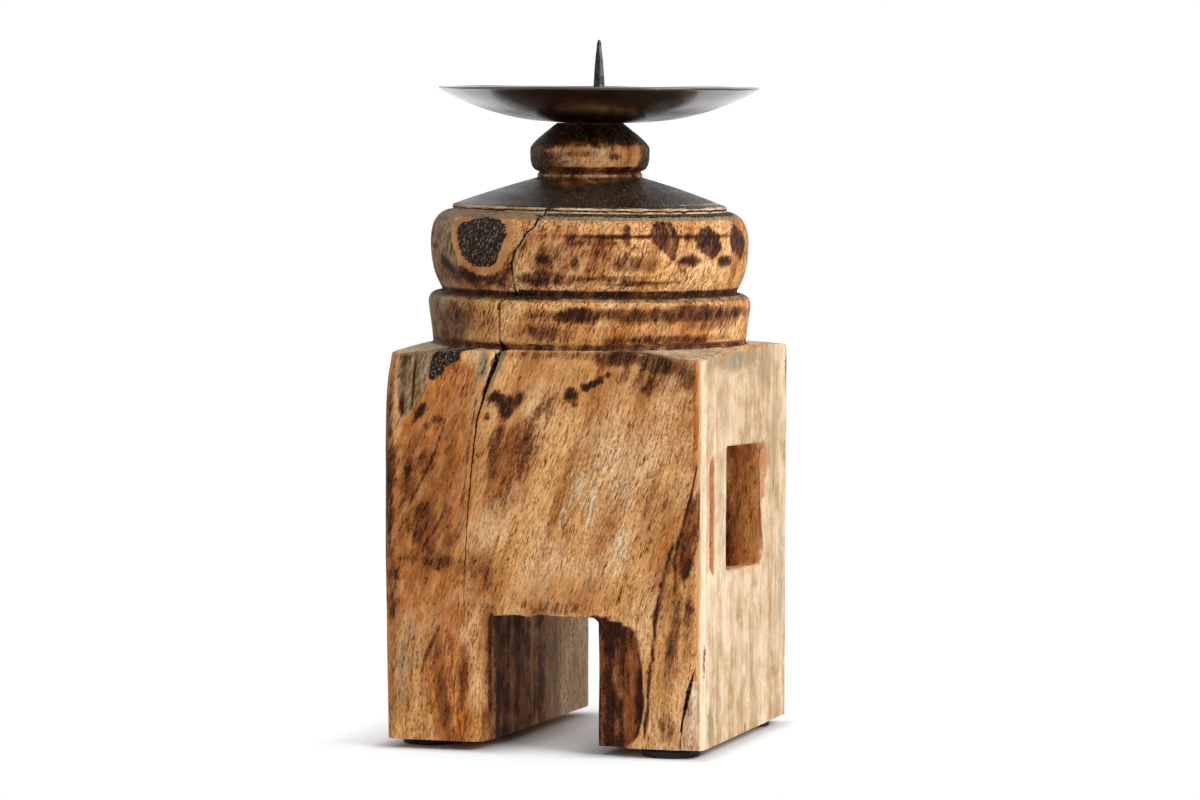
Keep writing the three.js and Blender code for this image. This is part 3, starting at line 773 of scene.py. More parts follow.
BACK_BLOTS = {
    "orange": [
        (0, 96, 62, 60, 8, 0.5), (30, 106, 22, 60, 10, 0.72),
    ],
    "pale": [
        (-8, 104, 26, 40, 8, 0.46), (4, 74, 12, 20, 10, 0.4),
    ],
    "grey": [
        (-48, 70, 14, 70, 3, 0.5), (20, 60, 8, 30, 10, 0.36),
    ],
    "stain": [
        (-60, 90, 4, 70, 0, 0.6), (60, 80, 4, 70, 0, 0.6), (0, 151, 64, 3.4, 0, 0.62),
        (-34, 142, 20, 7, 12, 0.62), (22, 128, 4, 20, 14, 0.5), (34, 104, 10, 30, 14, 0.42),
        (-20, 100, 3, 34, 14, 0.42), (8, 84, 2.4, 26, 12, 0.46), (-44, 40, 2.6, 34, 4, 0.56),
        (46, 40, 5, 36, 4, 0.5), (38, 20, 2.4, 18, 2, 0.6), (0, 58, 24, 4, 0, 0.42),
    ],
}
LEFT_BLOTS = {
    "orange": [
        (0, 90, 62, 64, 4, 0.5), (36, 80, 20, 66, 4, 0.72),
    ],
    "pale": [
        (-8, 96, 18, 44, 3, 0.44),
    ],
    "grey": [
        (-44, 84, 14, 64, 2, 0.5), (8, 120, 6, 30, 2, 0.4),
    ],
    "stain": [
        (60, 90, 4, 64, 0, 0.66), (-60, 90, 3, 64, 0, 0.5), (0, 151, 62, 3.4, 0, 0.62),
        (40, 118, 12, 26, 4, 0.5), (-24, 130, 9, 18, 6, 0.5), (20, 80, 2.4, 40, 3, 0.52),
        (32, 50, 8, 36, 3, 0.46), (-36, 40, 3, 34, 2, 0.52), (-6, 30, 7, 22, 2, 0.42),
        (48, 20, 3, 20, 2, 0.55),
    ],
}
FINISHES = ["pale", "grey", "orange", "stain", "soot"]
ragged_across = 1.6 * noise(soft, (6, 6, 9), 51, 3)
ragged_up = 2.8 * noise(soft, (6, 6, 12), 53, 3)


def blot_fields(blots, across, height, where):
    """The strongest blot of each finish at each point. A blot falls from its strength to nothing between
    0.4 and 1.3 of its ellipse, but is never more than 1, so a strength over 1 makes a firmer edge. The
    outline is ragged, because the place is moved by noise first: less for a small blot."""
    fields = {finish: np.zeros(len(across)) for finish in FINISHES}
    for finish, shapes in blots.items():
        for centre, up, half_width, half_height, tilt, strength in shapes:
            s, c = math.sin(math.radians(tilt)), math.cos(math.radians(tilt))
            du = across + ragged_across * min(1, half_width / 5) - centre
            dv = height + ragged_up * min(1, half_height / 6) - up
            off = np.hypot((du * c - dv * s) / half_width, (du * s + dv * c) / half_height)
            blot = np.minimum(strength * smoothstep(1.3, 0.4, off), 1) * where
            fields[finish] = np.maximum(fields[finish], blot)
    return fields


RING_MEAN = 62.0
girth = RING_MEAN * np.arctan2(x, -y)
facing_back = outside & (y > 0) & (np.abs(x) * HALF_Y <= y * HALF_X)
facing_left = outside & (x < 0) & ~facing_front & ~facing_back & on_block
block_front = facing_front & (z < 154.4)
parts = [
    blot_fields(FRONT_BLOTS, front_place, z, block_front),
    blot_fields(RING_BLOTS, girth, z, outside & (z > 154)),
    blot_fields(RIGHT_BLOTS, y, z, facing_right),
    blot_fields(BACK_BLOTS, -x, z, facing_back & on_block),
    blot_fields(LEFT_BLOTS, -y, z, facing_left),
]
field = {finish: np.max([part[finish] for part in parts], axis=0) for finish in FINISHES}
print({finish: int((value > 0.5).sum()) for finish, value in field.items()})

# %% [markdown]
# Other finishes follow the shape: a burnt patch has a clear outline, a drop runs down the ring, the groove
# between the rings is dark with dirt and painted shade, and the top edges are pale and grey with wear and
# partly painted light. Their outlines are polygons, and their bands are heights on the turning, both made
# ragged by noise.

# %% Helpers for finishes
reach = np.hypot(x, y)
level = z + lean_of(soft)
facing_x, facing_up = normal[:, 0], normal[:, 2]
broken = noise(soft, (3, 3, 6), 61, 2)
streak = noise(soft, (2.6, 2.6, 60), 63, 2)
ragged_edge = 0.7 * noise(soft, (2.2, 2.2, 3), 65, 3)
rays = smoothstep(0.1, 0.5, noise(soft, (1.5, 1.5, 40), 66, 2))
field["gloss"] = np.zeros(len(soft))
field["open"] = np.full(len(soft), 0.75)

# Parts of the turning, as the heights between which they lie
LEDGE, LEDGE_CORNER, BOTH_RINGS = (149, 156), (152.5, 155.6), (156, 206)
LOWER_EDGE, LOWER_EDGE_BURNT, GROOVE = (171.5, 175), (172, 175), (173.2, 176)
UPPER_RING, RING_TOP, FILLET = (176, 206), (203.2, 205.9), (205.2, 208.2)
SHOULDER, NECK, BEAD, KNOB_BAND = (206.8, 217.6), (216.5, 222.4), (218.5, 219.7), (222, 232.5)


def at(span, height=z):
    """The points of the outside between the two heights of a span."""
    return outside & (height > span[0]) & (height < span[1])


def lay(finish, strength, where=True):
    """Adds a finish wherever it is stronger than what is there."""
    field[finish] = np.maximum(field[finish], np.where(where, strength, 0))


def thin(finish, share):
    """Takes a share of a finish away."""
    field[finish] = field[finish] * (1 - share)


print("points of the outside:", int(outside.sum()))

# %% Burnt patches and drops
# Burnt spots on the front and on the ring, and the dark band at the right edge
BURNT_TOP = [
    (-44.6, 146), (-38.5, 144.8), (-35.5, 146.8), (-33.5, 149.6), (-27.4, 153.2), (-27.6, 154.4),
    (-40.8, 154.2), (-43.3, 151.5),
]
BURNT_TAIL = [(-45.4, 143), (-44.7, 141.4), (-42.8, 142), (-38.5, 144.8), (-40, 147.5), (-44.6, 147.5)]
BURNT_OVAL = [
    (-42.1, 200.9), (-41.4, 195.1), (-38.2, 189.1), (-32.5, 185.4), (-28.8, 184.7), (-23, 185),
    (-19.8, 186.3), (-15.5, 195), (-14.6, 198.3), (-16.3, 201.1), (-19.8, 203.2), (-26.8, 203.8),
    (-35.3, 202.8),
]
DARK_BAND = [(53.1, 79.7), (56, 66.8), (58.9, 70.6), (63.6, 83.7), (66, 104), (58.8, 99.2)]
for corners in [BURNT_TOP, BURNT_TAIL]:
    lay("soot", smoothstep(-0.6, 0.6, inside(corners, front_place, z) + ragged_edge), block_front)
band = inside(DARK_BAND, front_place, z) + 2 * ragged_edge
lay("stain", 0.62 * smoothstep(-1.2, 1.0, band) + 0.25 * streak, block_front & (band > -1.2))
oval = inside(BURNT_OVAL, girth, z) + ragged_edge
on_ring = at(UPPER_RING)
lay("soot", smoothstep(-0.5, 0.5, oval), on_ring)
oval_rim = smoothstep(-4.2, -2.2, oval) * smoothstep(0.3, -0.4, oval) * on_ring
for finish in ["stain", "grey", "soot"]:
    thin(finish, oval_rim)
lay("pale", 0.45 * oval_rim)
lay("orange", 0.62 * oval_rim)

# Drops that ran down the ring
DROPS = [
    [
        (41, 197.2), (45.4, 193), (49.8, 189), (52.2, 187), (53.4, 190), (54.6, 195.4), (53.6, 199),
        (52.2, 202.2), (48, 202.4), (44.3, 201.6),
    ],
    [
        (62.4, 192.5), (64.7, 191), (71.3, 187.8), (74, 188.5), (78.2, 192.1), (76.7, 195.4),
        (71.2, 200.8), (66.3, 199.7), (63, 196.5),
    ],
    [
        (84.2, 194.8), (85.6, 191), (95.8, 186.2), (98.8, 189.8), (100.6, 194.3), (95.6, 198.6),
        (91.7, 200.7), (86.5, 199.2),
    ],
    [(31, 192.8), (34.4, 192.8), (34.4, 201.3), (31, 201.3)],
]
for corners in DROPS:
    drop = inside(corners, girth, z) + 0.6 * ragged_edge
    lay("stain", (0.8 - 0.3 * rays) * smoothstep(-0.6, 0.3, drop), on_ring)

print("points with soot:", int((field["soot"] > 0.5).sum()))

# %% Thin lines along the grain, and the weathered corner
# (finish, heights, places across the front, half width, strength)
GRAIN_LINES = [
    ("stain", [7.7, 14.1, 23.6, 39.4, 60.4, 82], [41.1, 41.6, 42.7, 44.2, 46.0, 52.0], 0.7, 0.95),
    ("stain", [62, 80, 100, 112], [52.5, 53.6, 59.2, 62], 0.7, 0.9),
    ("stain", [84, 96, 110, 124], [-57, -52, -44.5, -39], 0.5, 0.75),
    ("stain", [70, 84, 97], [-52, -43, -36.5], 0.5, 0.7),
    ("pale", [84, 97, 111, 125], [-56, -51, -43.6, -38], 0.6, 0.6),
    ("pale", [70, 84, 97], [-51, -42, -35.6], 0.6, 0.6),
    ("stain", [95, 118, 134], [-31.5, -29, -26], 0.5, 0.6),
    ("stain", [56, 70, 90], [30, 33, 40], 0.5, 0.5),
    ("pale", [84, 104, 122, 140, 150], [-32.8, -31.8, -30, -26, -23], 1.0, 0.62),
]
for finish, heights_up, places, half, strength in GRAIN_LINES:
    off = np.abs(front_place + 0.5 * ragged_edge - np.interp(z, heights_up, places))
    bottom, top = heights_up[0], heights_up[-1]
    fading = smoothstep(bottom - 2, bottom + 2, z) * smoothstep(top + 2, top - 2, z)
    lay(finish, strength * smoothstep(1.5 * half, 0.4 * half, off) * fading, block_front)
lay("grey", weathered)
thin("orange", 0.8 * weathered)
thin("stain", 0.8 * weathered)
lay("stain", 0.75 * flute + 0.5 * broken, flute > 0.1)
print("points with stain:", int((field["stain"] > 0.5).sum()))

# %% Right side, ledge, rings and fillet
turned_right = smoothstep(0.45, 0.8, facing_x) * (outside & on_block & (x > 55))
lay("pale", 0.95 * turned_right)
# Towards the front the right side is laid full pale, which the material lightens further: a painted highlight
# on the rounded front right edge.
lay("pale", turned_right * smoothstep(-49, -57, y))
# The ledge's top, where it faces up, is laid pale and grey: weathered wood, partly painted light.
ledge_top = at(LEDGE) & (facing_up > 0.6)
lay("grey", 0.3 + 0.4 * broken, ledge_top)
lay("pale", 0.95 + 0.3 * broken, ledge_top)
# The crease where the ledge meets the ring is laid dark: dirt and painted shade.
lay("stain", 0.7 + 0.3 * broken, at(LEDGE_CORNER) & (reach < 61.8))
# Grey upper edges, on the lower ring partly a painted highlight, a dark groove between the rings, which is
# dirt and painted shade, and the fillet with one dark line
lay("grey", 0.75 + 0.3 * broken, at(LOWER_EDGE) & (facing_up > 0.45))
lay("soot", 0.4 + 0.3 * broken, at(LOWER_EDGE_BURNT) & (facing_up > 0.6))
lay("stain", 0.85 + 0.2 * broken, at(GROOVE))
ring_top = at(RING_TOP, level) & (facing_up > 0.5) & (reach > 53)
lay("grey", 0.85 + 0.2 * broken, ring_top)
lay("pale", 0.7 + 0.3 * broken, ring_top)
on_right = smoothstep(-12, 6, girth + 6 * broken)
lay("soot", 0.95 * on_right * smoothstep(204.2, 204.7, level + 0.3 * broken), ring_top)
fillet = at(FILLET, level) & (reach > 52.6) & (reach < 54.6)
on_shoulder = at(SHOULDER) & (reach < 54)
lay("soot", smoothstep(53.6, 52.4, reach + 0.5 * broken), on_shoulder)
lay("pale", 0.9, fillet)
lay("stain", 0.9 * smoothstep(0.55, 0.2, np.abs(level - 206.2 + 0.5 * broken)), fillet)
print("points on the ledge and the ring's top:", int(ledge_top.sum()), int(ring_top.sum()))

# %% Shoulder and knob
# The black shoulder shines and is bared in rings where the tool turned it, and brown below the knob
turning = noise(np.column_stack([reach, reach, reach]), 1.3, 70, 2) + 0.6 * noise(soft, 9, 72, 2)
lay("gloss", 0.8 + 0.5 * turning, on_shoulder & (reach < 53))
brown_top = np.exp(-(((girth - 12) / 34) ** 2)) * smoothstep(212.5, 216.5, z + broken)
bared = np.clip(0.75 * brown_top + 0.9 * (turning - 0.25) * smoothstep(-10, 40, girth), 0, 0.9)
thin("soot", np.where(on_shoulder, bared, 0))
lay("stain", 0.75 + 0.3 * broken, on_shoulder & (brown_top > 0.2))
# The knob has a neck with a pale bead, a tan band that darkens towards both ends, a burnt cone and a pale
# frayed seat
lay("stain", 0.75 + 0.3 * broken, at(NECK))
bead = at(BEAD) & (reach < 22)
lay("pale", 0.6 + 0.5 * broken, bead)
field["stain"] = np.where(bead, 0.4 + 0.6 * broken, field["stain"])
on_band = at(KNOB_BAND)
lay("stain", 0.85 * broken - 0.3, on_band)
lay("orange", 0.36 + 0.5 * streak, on_band)
lay("stain", 0.42 * rays, on_band)
# The pale on the band's lower part is partly painted light, which lifts the band out of the pan's shade.
lay("pale", 0.24 + 0.5 * broken, on_band & (z < 230.5))
lay("gloss", 0.15, on_band)
# The band is darker towards both ends, as seen from the front.
band_ends = np.maximum(smoothstep(0, -36, girth), smoothstep(66, 92, girth))
uneven = 0.5 * noise(soft, (3, 3, 2.2), 68, 2)
darker_end = band_ends + uneven - 0.15 * smoothstep(224, 229, z) - 0.1
lay("stain", 1.2 * darker_end, on_band)
lay("soot", 0.6 * darker_end, on_band)
lay("stain", smoothstep(229, 232.5, z + 1.6 * broken), outside & (z > 228))
lay("soot", (0.6 + 0.5 * broken) * smoothstep(230.6, 233.2, z + 1.8 * broken), outside & (z > 229))
lay("gloss", 0.6 * smoothstep(231, 234, z), outside & (z > 230))
pale_seat = smoothstep(238.3, 238.8, z + 0.4 * broken) * (outside & (reach < 17))
thin("soot", pale_seat)
thin("stain", 0.7 * pale_seat)
lay("pale", 0.9 * pale_seat)
print("points on the shoulder and the knob's band:", int(on_shoulder.sum()), int(on_band.sum()))

# %% Cuts: scoop, split, crack, mortise and slot
# The scoop keeps its dark old stain, and is darker still at its right edge and towards the arch: painted
# shade, where the step and the arch shade it.
SCOOP_ACROSS = [SLOT_RIGHT, 24, 26, 28.5, 31, 34, 37, SCOOP_RIGHT]
SCOOP_STAIN_AND_SHADE = [0.54, 0.7, 0.9, 0.92, 0.56, 0.52, 0.72, 1.05]
in_scoop = smoothstep(0.1, 0.7, scoop)
scoop_stain_and_shade = np.interp(front_place + ragged_edge, SCOOP_ACROSS, SCOOP_STAIN_AND_SHADE)
scoop_stain_and_shade = scoop_stain_and_shade + 0.35 * smoothstep(42, 50, z) + 0.6 * streak + 0.3 * broken
field["stain"] = field["stain"] + in_scoop * (scoop_stain_and_shade - field["stain"])
lay("orange", 0.9 * in_scoop)
bare_flecks = smoothstep(0.2, 0.5, noise(soft, (1.6, 1.6, 5), 67, 2))
bare_flecks = bare_flecks * smoothstep(4, 1, np.abs(front_place - 29.5)) * in_scoop
bare_flecks = bare_flecks * smoothstep(22, 30, z) * smoothstep(46, 40, z)
thin("stain", 0.7 * bare_flecks)
thin("stain", 0.9 * sliver)
lay("pale", 0.8 * bare_flecks)
# The sliver is laid full pale: raw split wood, with painted light where it catches the lamp.
lay("pale", sliver, sliver > 0.2)
sliver_fibres = noise(soft, (1.2, 1.2, 14), 69, 2) + 0.5 * smoothstep(14, 4, z)
lay("orange", 0.55 * smoothstep(0, 0.5, sliver_fibres), sliver > 0.4)
thin("grey", sliver)
# The crack is laid black: dirt and painted shade in the gap.
lay("soot", 0.95 * smoothstep(0.08, 0.4, crack), crack > 0)
lay("grey", 0.8, (lip > 0.15) & (z < LIP_PARTING))
lay("pale", 0.8, (lip > 0.15) & (z > 178))
# The split is laid black too: dirt and painted shade in the gap.
lay("soot", 1.0, split > 0.3)
sill_face = (region == MORTISE) & (facing_up > 0.7)
mortise_wall = (region == MORTISE) & ~sill_face
# The sill faces up and is laid pale: painted light on the lit floor of the hole.
lay("pale", 0.85, sill_face)
# The mark's steep rear wall loses its pale and is laid orange, with stain at its deepest: painted shade on
# the wall that faces away from the lamp.
gauge_wall = gauge * smoothstep(MARK_DEEP - 0.8, MARK_DEEP, y)
thin("pale", 0.5 * smoothstep(0.1, 0.6, gauge_wall))
lay("orange", 0.72 * smoothstep(0.0, 0.4, gauge_wall))
lay("stain", 0.25 * smoothstep(0.6, 0.9, gauge_wall))
lay("orange", 0.6, chip > 0.1)
lay("orange", 0.62 + 0.3 * streak, mortise_wall)
# Deeper in the mortise the walls are stained darker: painted shade in the hole.
lay("stain", 0.06 + 0.25 * smoothstep(58, 48, x) + 0.8 * streak, mortise_wall)
# The slot's walls keep stain and streaks, with painted shade in front and painted light behind, where the
# light falls in
WALL_PLACES = [-62, -54, -45, -20, 10, 40]
wall_stain_and_shade = np.interp(y, WALL_PLACES, [0.24, 0.5, 0.8, 0.64, 0.1, -0.4])
wall_grey_and_shade = np.interp(y, WALL_PLACES, [0.5, 0.6, 0.75, 0.7, 0.4, 0.1])
lay("grey", wall_grey_and_shade + 0.4 * streak, in_slot)
lay("pale", np.minimum(1.2 * smoothstep(-14, 32, y) + 0.25 * streak, 0.8), in_slot)
lay("stain", wall_stain_and_shade + 0.6 * streak, in_slot)
lay("soot", 0.8 * streak - 0.1, in_slot & (y > -35) & (y < 20))
lay("orange", 0.6 * smoothstep(-48, -61, y), in_slot)
wall_crack = np.abs(y - 2 - 0.05 * z - ragged_edge)
lay("soot", smoothstep(1.3, 0.5, wall_crack) * smoothstep(26, 32, z), in_slot & (x < 0))
print("points in the scoop and the slot:", int((in_scoop > 0.5).sum()), int(in_slot.sum()))

# %% [markdown]
# The grain is worn open on the rings and polished shut on the right side. On the front and back the fibres
# lean, more so above the legs, and round the turned part they wind a little. Each point keeps its own place
# in the straight grain of the tree, so that the material can lay the fibres without knowing the shape.

# %% How open the grain is, and where each point lies in it
OPEN_RIGHT, OPEN_RINGS, OPEN_BAND, OPEN_SHOULDER, OPEN_EDGES = 0.04, 1.0, 0.7, 0.3, 0.4
polished = facing_right | (facing_x > 0.45) & on_block & outside
open_parts = [(polished, OPEN_RIGHT), (at(BOTH_RINGS), OPEN_RINGS), (on_band, OPEN_BAND),
              (on_shoulder, OPEN_SHOULDER), (fillet | ring_top, OPEN_EDGES)]
for where, value in open_parts:
    field["open"] = np.where(where, value, field["open"])
thin("open", 0.6 * oval_rim)

# The lean passes smoothly from the legs' to the block's: a soft corner at the top of the slot
LEG_LEAN, BLOCK_LEAN, LEAN_CORNER, LEAN_SOFT = 0.09, 0.24, 52, 8
slid = LEG_LEAN * z + BLOCK_LEAN * LEAN_SOFT * np.logaddexp(0, (z - LEAN_CORNER) / LEAN_SOFT)
away_from_edge = (facing_front | facing_back) & (np.abs(x) < 55)
to_front = np.where(away_from_edge, 1, smoothstep(0.45, 0.9, np.abs(normal[:, 1])))
to_front = np.where(region == MORTISE, 0.3, to_front)
twist = np.arctan2(x, -y) - slid / RING_MEAN
round_place = np.stack([reach * np.sin(twist), -reach * np.cos(twist)], axis=1)
flat_place = np.stack([x - slid * to_front, y], axis=1)
turned_part = (outside & (z > 155.5))[:, None]
grain_place = np.column_stack([np.where(turned_part, round_place, flat_place), z])
grain = post.data.attributes.new("grain", "FLOAT_VECTOR", "POINT")
grain.data.foreach_set("vector", (grain_place * MM).astype(np.float32).reshape(-1))

LAYERS = FINISHES + ["gloss", "open"]
for finish in LAYERS:
    store(post, finish, np.clip(field[finish], 0, 1))
print("finishes on the post:", [a.name for a in post.data.attributes if a.name in LAYERS])

# %% [markdown]
# ## Pan, spike and pads
#
# The pan is beaten from iron sheet. Its section is a closed loop: out along the underside, round the rim,
# back along the inside and down the square hole. Turning that loop about the pan's axis gives a closed
# surface. The rim of a beaten pan isn't quite flat or quite round, so a slow noise moves it. Round the
# spike and the knob the iron is darker, with little oil left: char, with painted shade near the knob.

# %% The drip pan
PAN_FLAT, PAN_SHEET = 13.6, 1.1
PAN_COLUMNS, PAN_ARC_ROWS, PAN_CENTRE_ROWS, PAN_RIM_ROWS = 192, 34, 5, 6
PAN_TILT, PAN_PRESSED, PAN_OUT_OF_ROUND, PAN_OUT_OF_FLAT, PAN_BEATEN = 0.002, 0.2, 0.12, 0.35, 0.07
DARKENED_FULL, DARKENED_NONE, RIM_NOISE_RADIUS = 40, 54, 62
pan_radius = (pan_high - pan_low)[0] / 2
pan_bottom = pan_low[2]
pan_run = pan_radius - PAN_FLAT
pan_rise = pan_high[2] - pan_low[2] - PAN_SHEET
arc_radius = (pan_run**2 + pan_rise**2) / (2 * pan_rise)
arc_end = math.asin(pan_run / arc_radius)

around = circle(PAN_COLUMNS)
arc = np.linspace(0, arc_end, PAN_ARC_ROWS)
under_radius = PAN_FLAT + arc_radius * np.sin(arc)
under_height = pan_bottom + arc_radius * (1 - np.cos(arc))
rim_turn = np.linspace(-math.pi / 2, math.pi / 2, PAN_RIM_ROWS)[1:-1]
rim_radius = under_radius[-1] - PAN_SHEET / 2 + PAN_SHEET / 2 * np.cos(rim_turn)
rim_height = under_height[-1] + PAN_SHEET / 2 * (1 + np.sin(rim_turn))
under_radius = under_radius - np.linspace(0, PAN_SHEET / 2, PAN_ARC_ROWS) ** 3 / (PAN_SHEET / 2) ** 2
loop_radius = np.concatenate([under_radius, rim_radius, under_radius[::-1]])
loop_height = np.concatenate([under_height, rim_height, under_height[::-1] + PAN_SHEET])

hole = square_radius(around, SOCKET_HALF)
to_edge = np.linspace(0, 1, PAN_CENTRE_ROWS, endpoint=False)[:, None]
centre_radius = hole + to_edge * (PAN_FLAT - hole)
loop_rows = np.repeat(loop_radius[:, None], PAN_COLUMNS, 1)
flat_rows = np.full(PAN_CENTRE_ROWS, pan_bottom)
row_radius = np.concatenate([centre_radius, loop_rows, centre_radius[::-1]])
row_height = np.concatenate([flat_rows, loop_height, flat_rows + PAN_SHEET])[:, None]
rim_circle = around_axis((0, 0), 1, around, 0) * RIM_NOISE_RADIUS
outer = (row_radius / pan_radius) ** 2
row_radius = row_radius - PAN_OUT_OF_ROUND * outer * (1 + noise(rim_circle, 34, 71, 2))
row_height = row_height + PAN_OUT_OF_FLAT * outer * noise(rim_circle, 30, 73, 2)
pan_points = around_axis(PAN_AXIS, row_radius, around, row_height)
pan_points[..., 2] -= PAN_PRESSED * smoothstep(19, 13, row_radius)
pan_points[..., 2] -= PAN_TILT * ((pan_points[..., :2] - PAN_AXIS) @ LEAN_TOWARDS)
pan_index = np.arange(pan_points[..., 0].size).reshape(pan_points.shape[:2])
pan_cloud = pan_points.reshape(-1, 3)
from_axis = np.hypot(*(pan_cloud[:, :2] - PAN_AXIS).T)
beaten = PAN_BEATEN * noise(pan_cloud, 6.5, 75, 2) * smoothstep(10, 20, from_axis)
pan_cloud = pan_cloud + beaten[:, None] * [0, 0, 1]
pan_faces = [grid_faces(pan_index, around=True, along=True)]
pan = make_piece("iron_drip_pan", pan_cloud, pan_faces, "pan", "drip_pan", 60)
# Round the middle the pan is darkened: char, with painted shade near the knob.
store(pan, "darkened", smoothstep(DARKENED_NONE, DARKENED_FULL, from_axis))
print("drip pan: radius", pan_radius.round(2), "mm, rise", pan_rise.round(2), "mm")

# %% [markdown]
# The spike was forged from square bar: a square point that tapers in two steps, a round collar that
# presses on the pan, and a square tang in the post. A section with a power gives all of these: at power 2
# it is a circle, and at power 10 it is a square with soft corners. The two facets turned from the lamp are
# darkened with painted shade.

# %% The spike
SPIKE_COLUMNS = 64
COLLAR_FOOT, COLLAR_TOP = 240.9, 242.9
SPIKE_HAMMERED, SPIKE_FILED, SPIKE_SHADE = 0.10, 0.06, 0.75
# (height, half width, power of the section, rows to the next)
SPIKE_PROFILE = [
    (spike_low[2], 1.5, 10, 2), (spike_low[2] + 0.5, 2.0, 10, 22), (240.6, 3.0, 10, 2),
    (COLLAR_FOOT, 3.1, 10, 5), (COLLAR_FOOT + 0.02, 7.1, 2, 2), (COLLAR_FOOT + 0.4, 7.5, 2, 3),
    (COLLAR_TOP - 0.5, 7.5, 2, 3), (COLLAR_TOP, 7.0, 2, 5), (COLLAR_TOP + 0.1, 2.9, 6, 3),
    (COLLAR_TOP + 0.8, 2.25, 12, 26), (264.5, 1.16, 10, 9), (270.4, 0.66, 6, 3),
    (spike_high[2] - 0.2, 0.42, 2.5, 1), (spike_high[2], 0.08, 2, 1),
]
marks = np.array(SPIKE_PROFILE)
stretches = zip(marks[:-1, :3], marks[1:, :3], marks[:-1, 3].astype(int))
spike_rows = [np.linspace(lower, upper, steps, endpoint=False) for lower, upper, steps in stretches]
spike_rows = np.concatenate(spike_rows + [marks[-1:, :3]])
spin = circle(SPIKE_COLUMNS)
cosine, sine = np.abs(np.cos(spin - SPIKE_TURN)), np.abs(np.sin(spin - SPIKE_TURN))
power = spike_rows[:, 2:3]
spike_radius = spike_rows[:, 1:2] / (cosine**power + sine**power) ** (1 / power)
spike_points = around_axis(PAN_AXIS, spike_radius, spin, spike_rows[:, :1])
spike_cloud = spike_points.reshape(-1, 3)
above_collar_foot = spike_cloud[:, 2] > COLLAR_FOOT + 0.1
hammered = SPIKE_HAMMERED * noise(spike_cloud, (2.6, 2.6, 5), 81, 2) * above_collar_foot
outward = (spike_cloud - [*PAN_AXIS, 0]) * [1, 1, 0]
outward = outward / np.maximum(np.linalg.norm(outward, axis=1, keepdims=True), 1e-6)
below_tip = smoothstep(0, 0.8, spike_high[2] - spike_cloud[:, 2])
spike_cloud = spike_cloud - outward * ((SPIKE_FILED + hammered) * below_tip)[:, None]
spike_ends = [*PAN_AXIS, spike_low[2]], [*PAN_AXIS, spike_high[2]]
spike_cloud, spike_faces = capped(spike_cloud.reshape(spike_points.shape), *spike_ends)
spike = make_piece("forged_spike", spike_cloud, spike_faces, "pan", "spike", 40)
# Two facets, those turned from the lamp, are darkened: painted shade.
facet = np.mod(np.round((np.arctan2(outward[:, 1], outward[:, 0]) - SPIKE_TURN) / (math.pi / 2)), 4)
shaded_facets = np.append(np.where(facet >= 2, SPIKE_SHADE, 0) * below_tip, [0, 0])
store(spike, "darkened", shaded_facets)
print("points with scale:", int((shaded_facets > 0.5).sum()), "of", len(shaded_facets))

# %% [markdown]
# The pads are round discs of rubber with a rounded rim, cut from sheet and stuck under the legs. Each one
# takes its place from its own solid in the frame.

# %% The rubber pads
PAD_COLUMNS, PAD_EDGE_ROWS, PAD_EDGE, PAD_FLAT_SHARE = 56, 5, 0.55, 0.5
pad_turn = np.linspace(0, math.pi / 2, PAD_EDGE_ROWS)
drawn_by_sine, drawn_by_cosine = PAD_EDGE * (1 - np.sin(pad_turn)), PAD_EDGE * (1 - np.cos(pad_turn))
pads = []
for node in sorted(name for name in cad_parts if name.startswith("foot_pad")):
    low, high = box_mm(node)
    pad_radius = (high - low)[0] / 2
    middle = (low + high)[:2] / 2
    lower = np.stack([pad_radius - drawn_by_sine, low[2] + drawn_by_cosine], axis=1)
    upper = np.stack([pad_radius - drawn_by_cosine, high[2] - drawn_by_sine], axis=1)
    flat_radius = pad_radius * PAD_FLAT_SHARE
    rows = np.concatenate([[[flat_radius, low[2]]], lower, upper, [[flat_radius, high[2]]]])
    pad_points = around_axis(middle, rows[:, :1], circle(PAD_COLUMNS), rows[:, 1:])
    pad_cloud, pad_faces = capped(pad_points, [*middle, low[2]], [*middle, high[2]])
    pad_name = node.replace("foot", "rubber")
    pads.append(make_piece(pad_name, pad_cloud, pad_faces, "stand", node, 40))

# %% [markdown]
# ## Materials
#
# Colours are written as sRGB hex values, as a picture editor shows them, and one function turns them into
# the linear values that a shader needs. One more function adds a node: its settings are attributes, and
# its inputs are either values or sockets to link. Ramps, mixes and sums are built on it.


# %% Colours and nodes
def linear(hex_colour):
    """An sRGB hex colour as linear red, green, blue and an alpha of 1."""
    srgb = np.array([int(hex_colour[i : i + 2], 16) / 255 for i in (1, 3, 5)])
    values = np.where(srgb <= 0.04045, srgb / 12.92, ((srgb + 0.055) / 1.055) ** 2.4)
    return (*values.tolist(), 1.0)


def add(tree, kind, inputs=None, **settings):
    """Adds a node with its settings, and links or sets each input, named by its name or its number."""
    node = tree.nodes.new("ShaderNode" + kind)
    for name, value in settings.items():
        setattr(node, name, value)
    for key, value in (inputs or {}).items():
        if isinstance(value, bpy.types.NodeSocket):
            tree.links.new(value, node.inputs[key])
        else:
            node.inputs[key].default_value = value
    return node


def new_material(name):
    """An empty node material with an output node, and its tree."""
    material = bpy.data.materials.new(name)
    material.use_nodes = True
    material.node_tree.nodes.clear()
    return material, material.node_tree, material.node_tree.nodes.new("ShaderNodeOutputMaterial")


FACTOR, FIRST, SECOND, RESULT = 0, 6, 7, 2


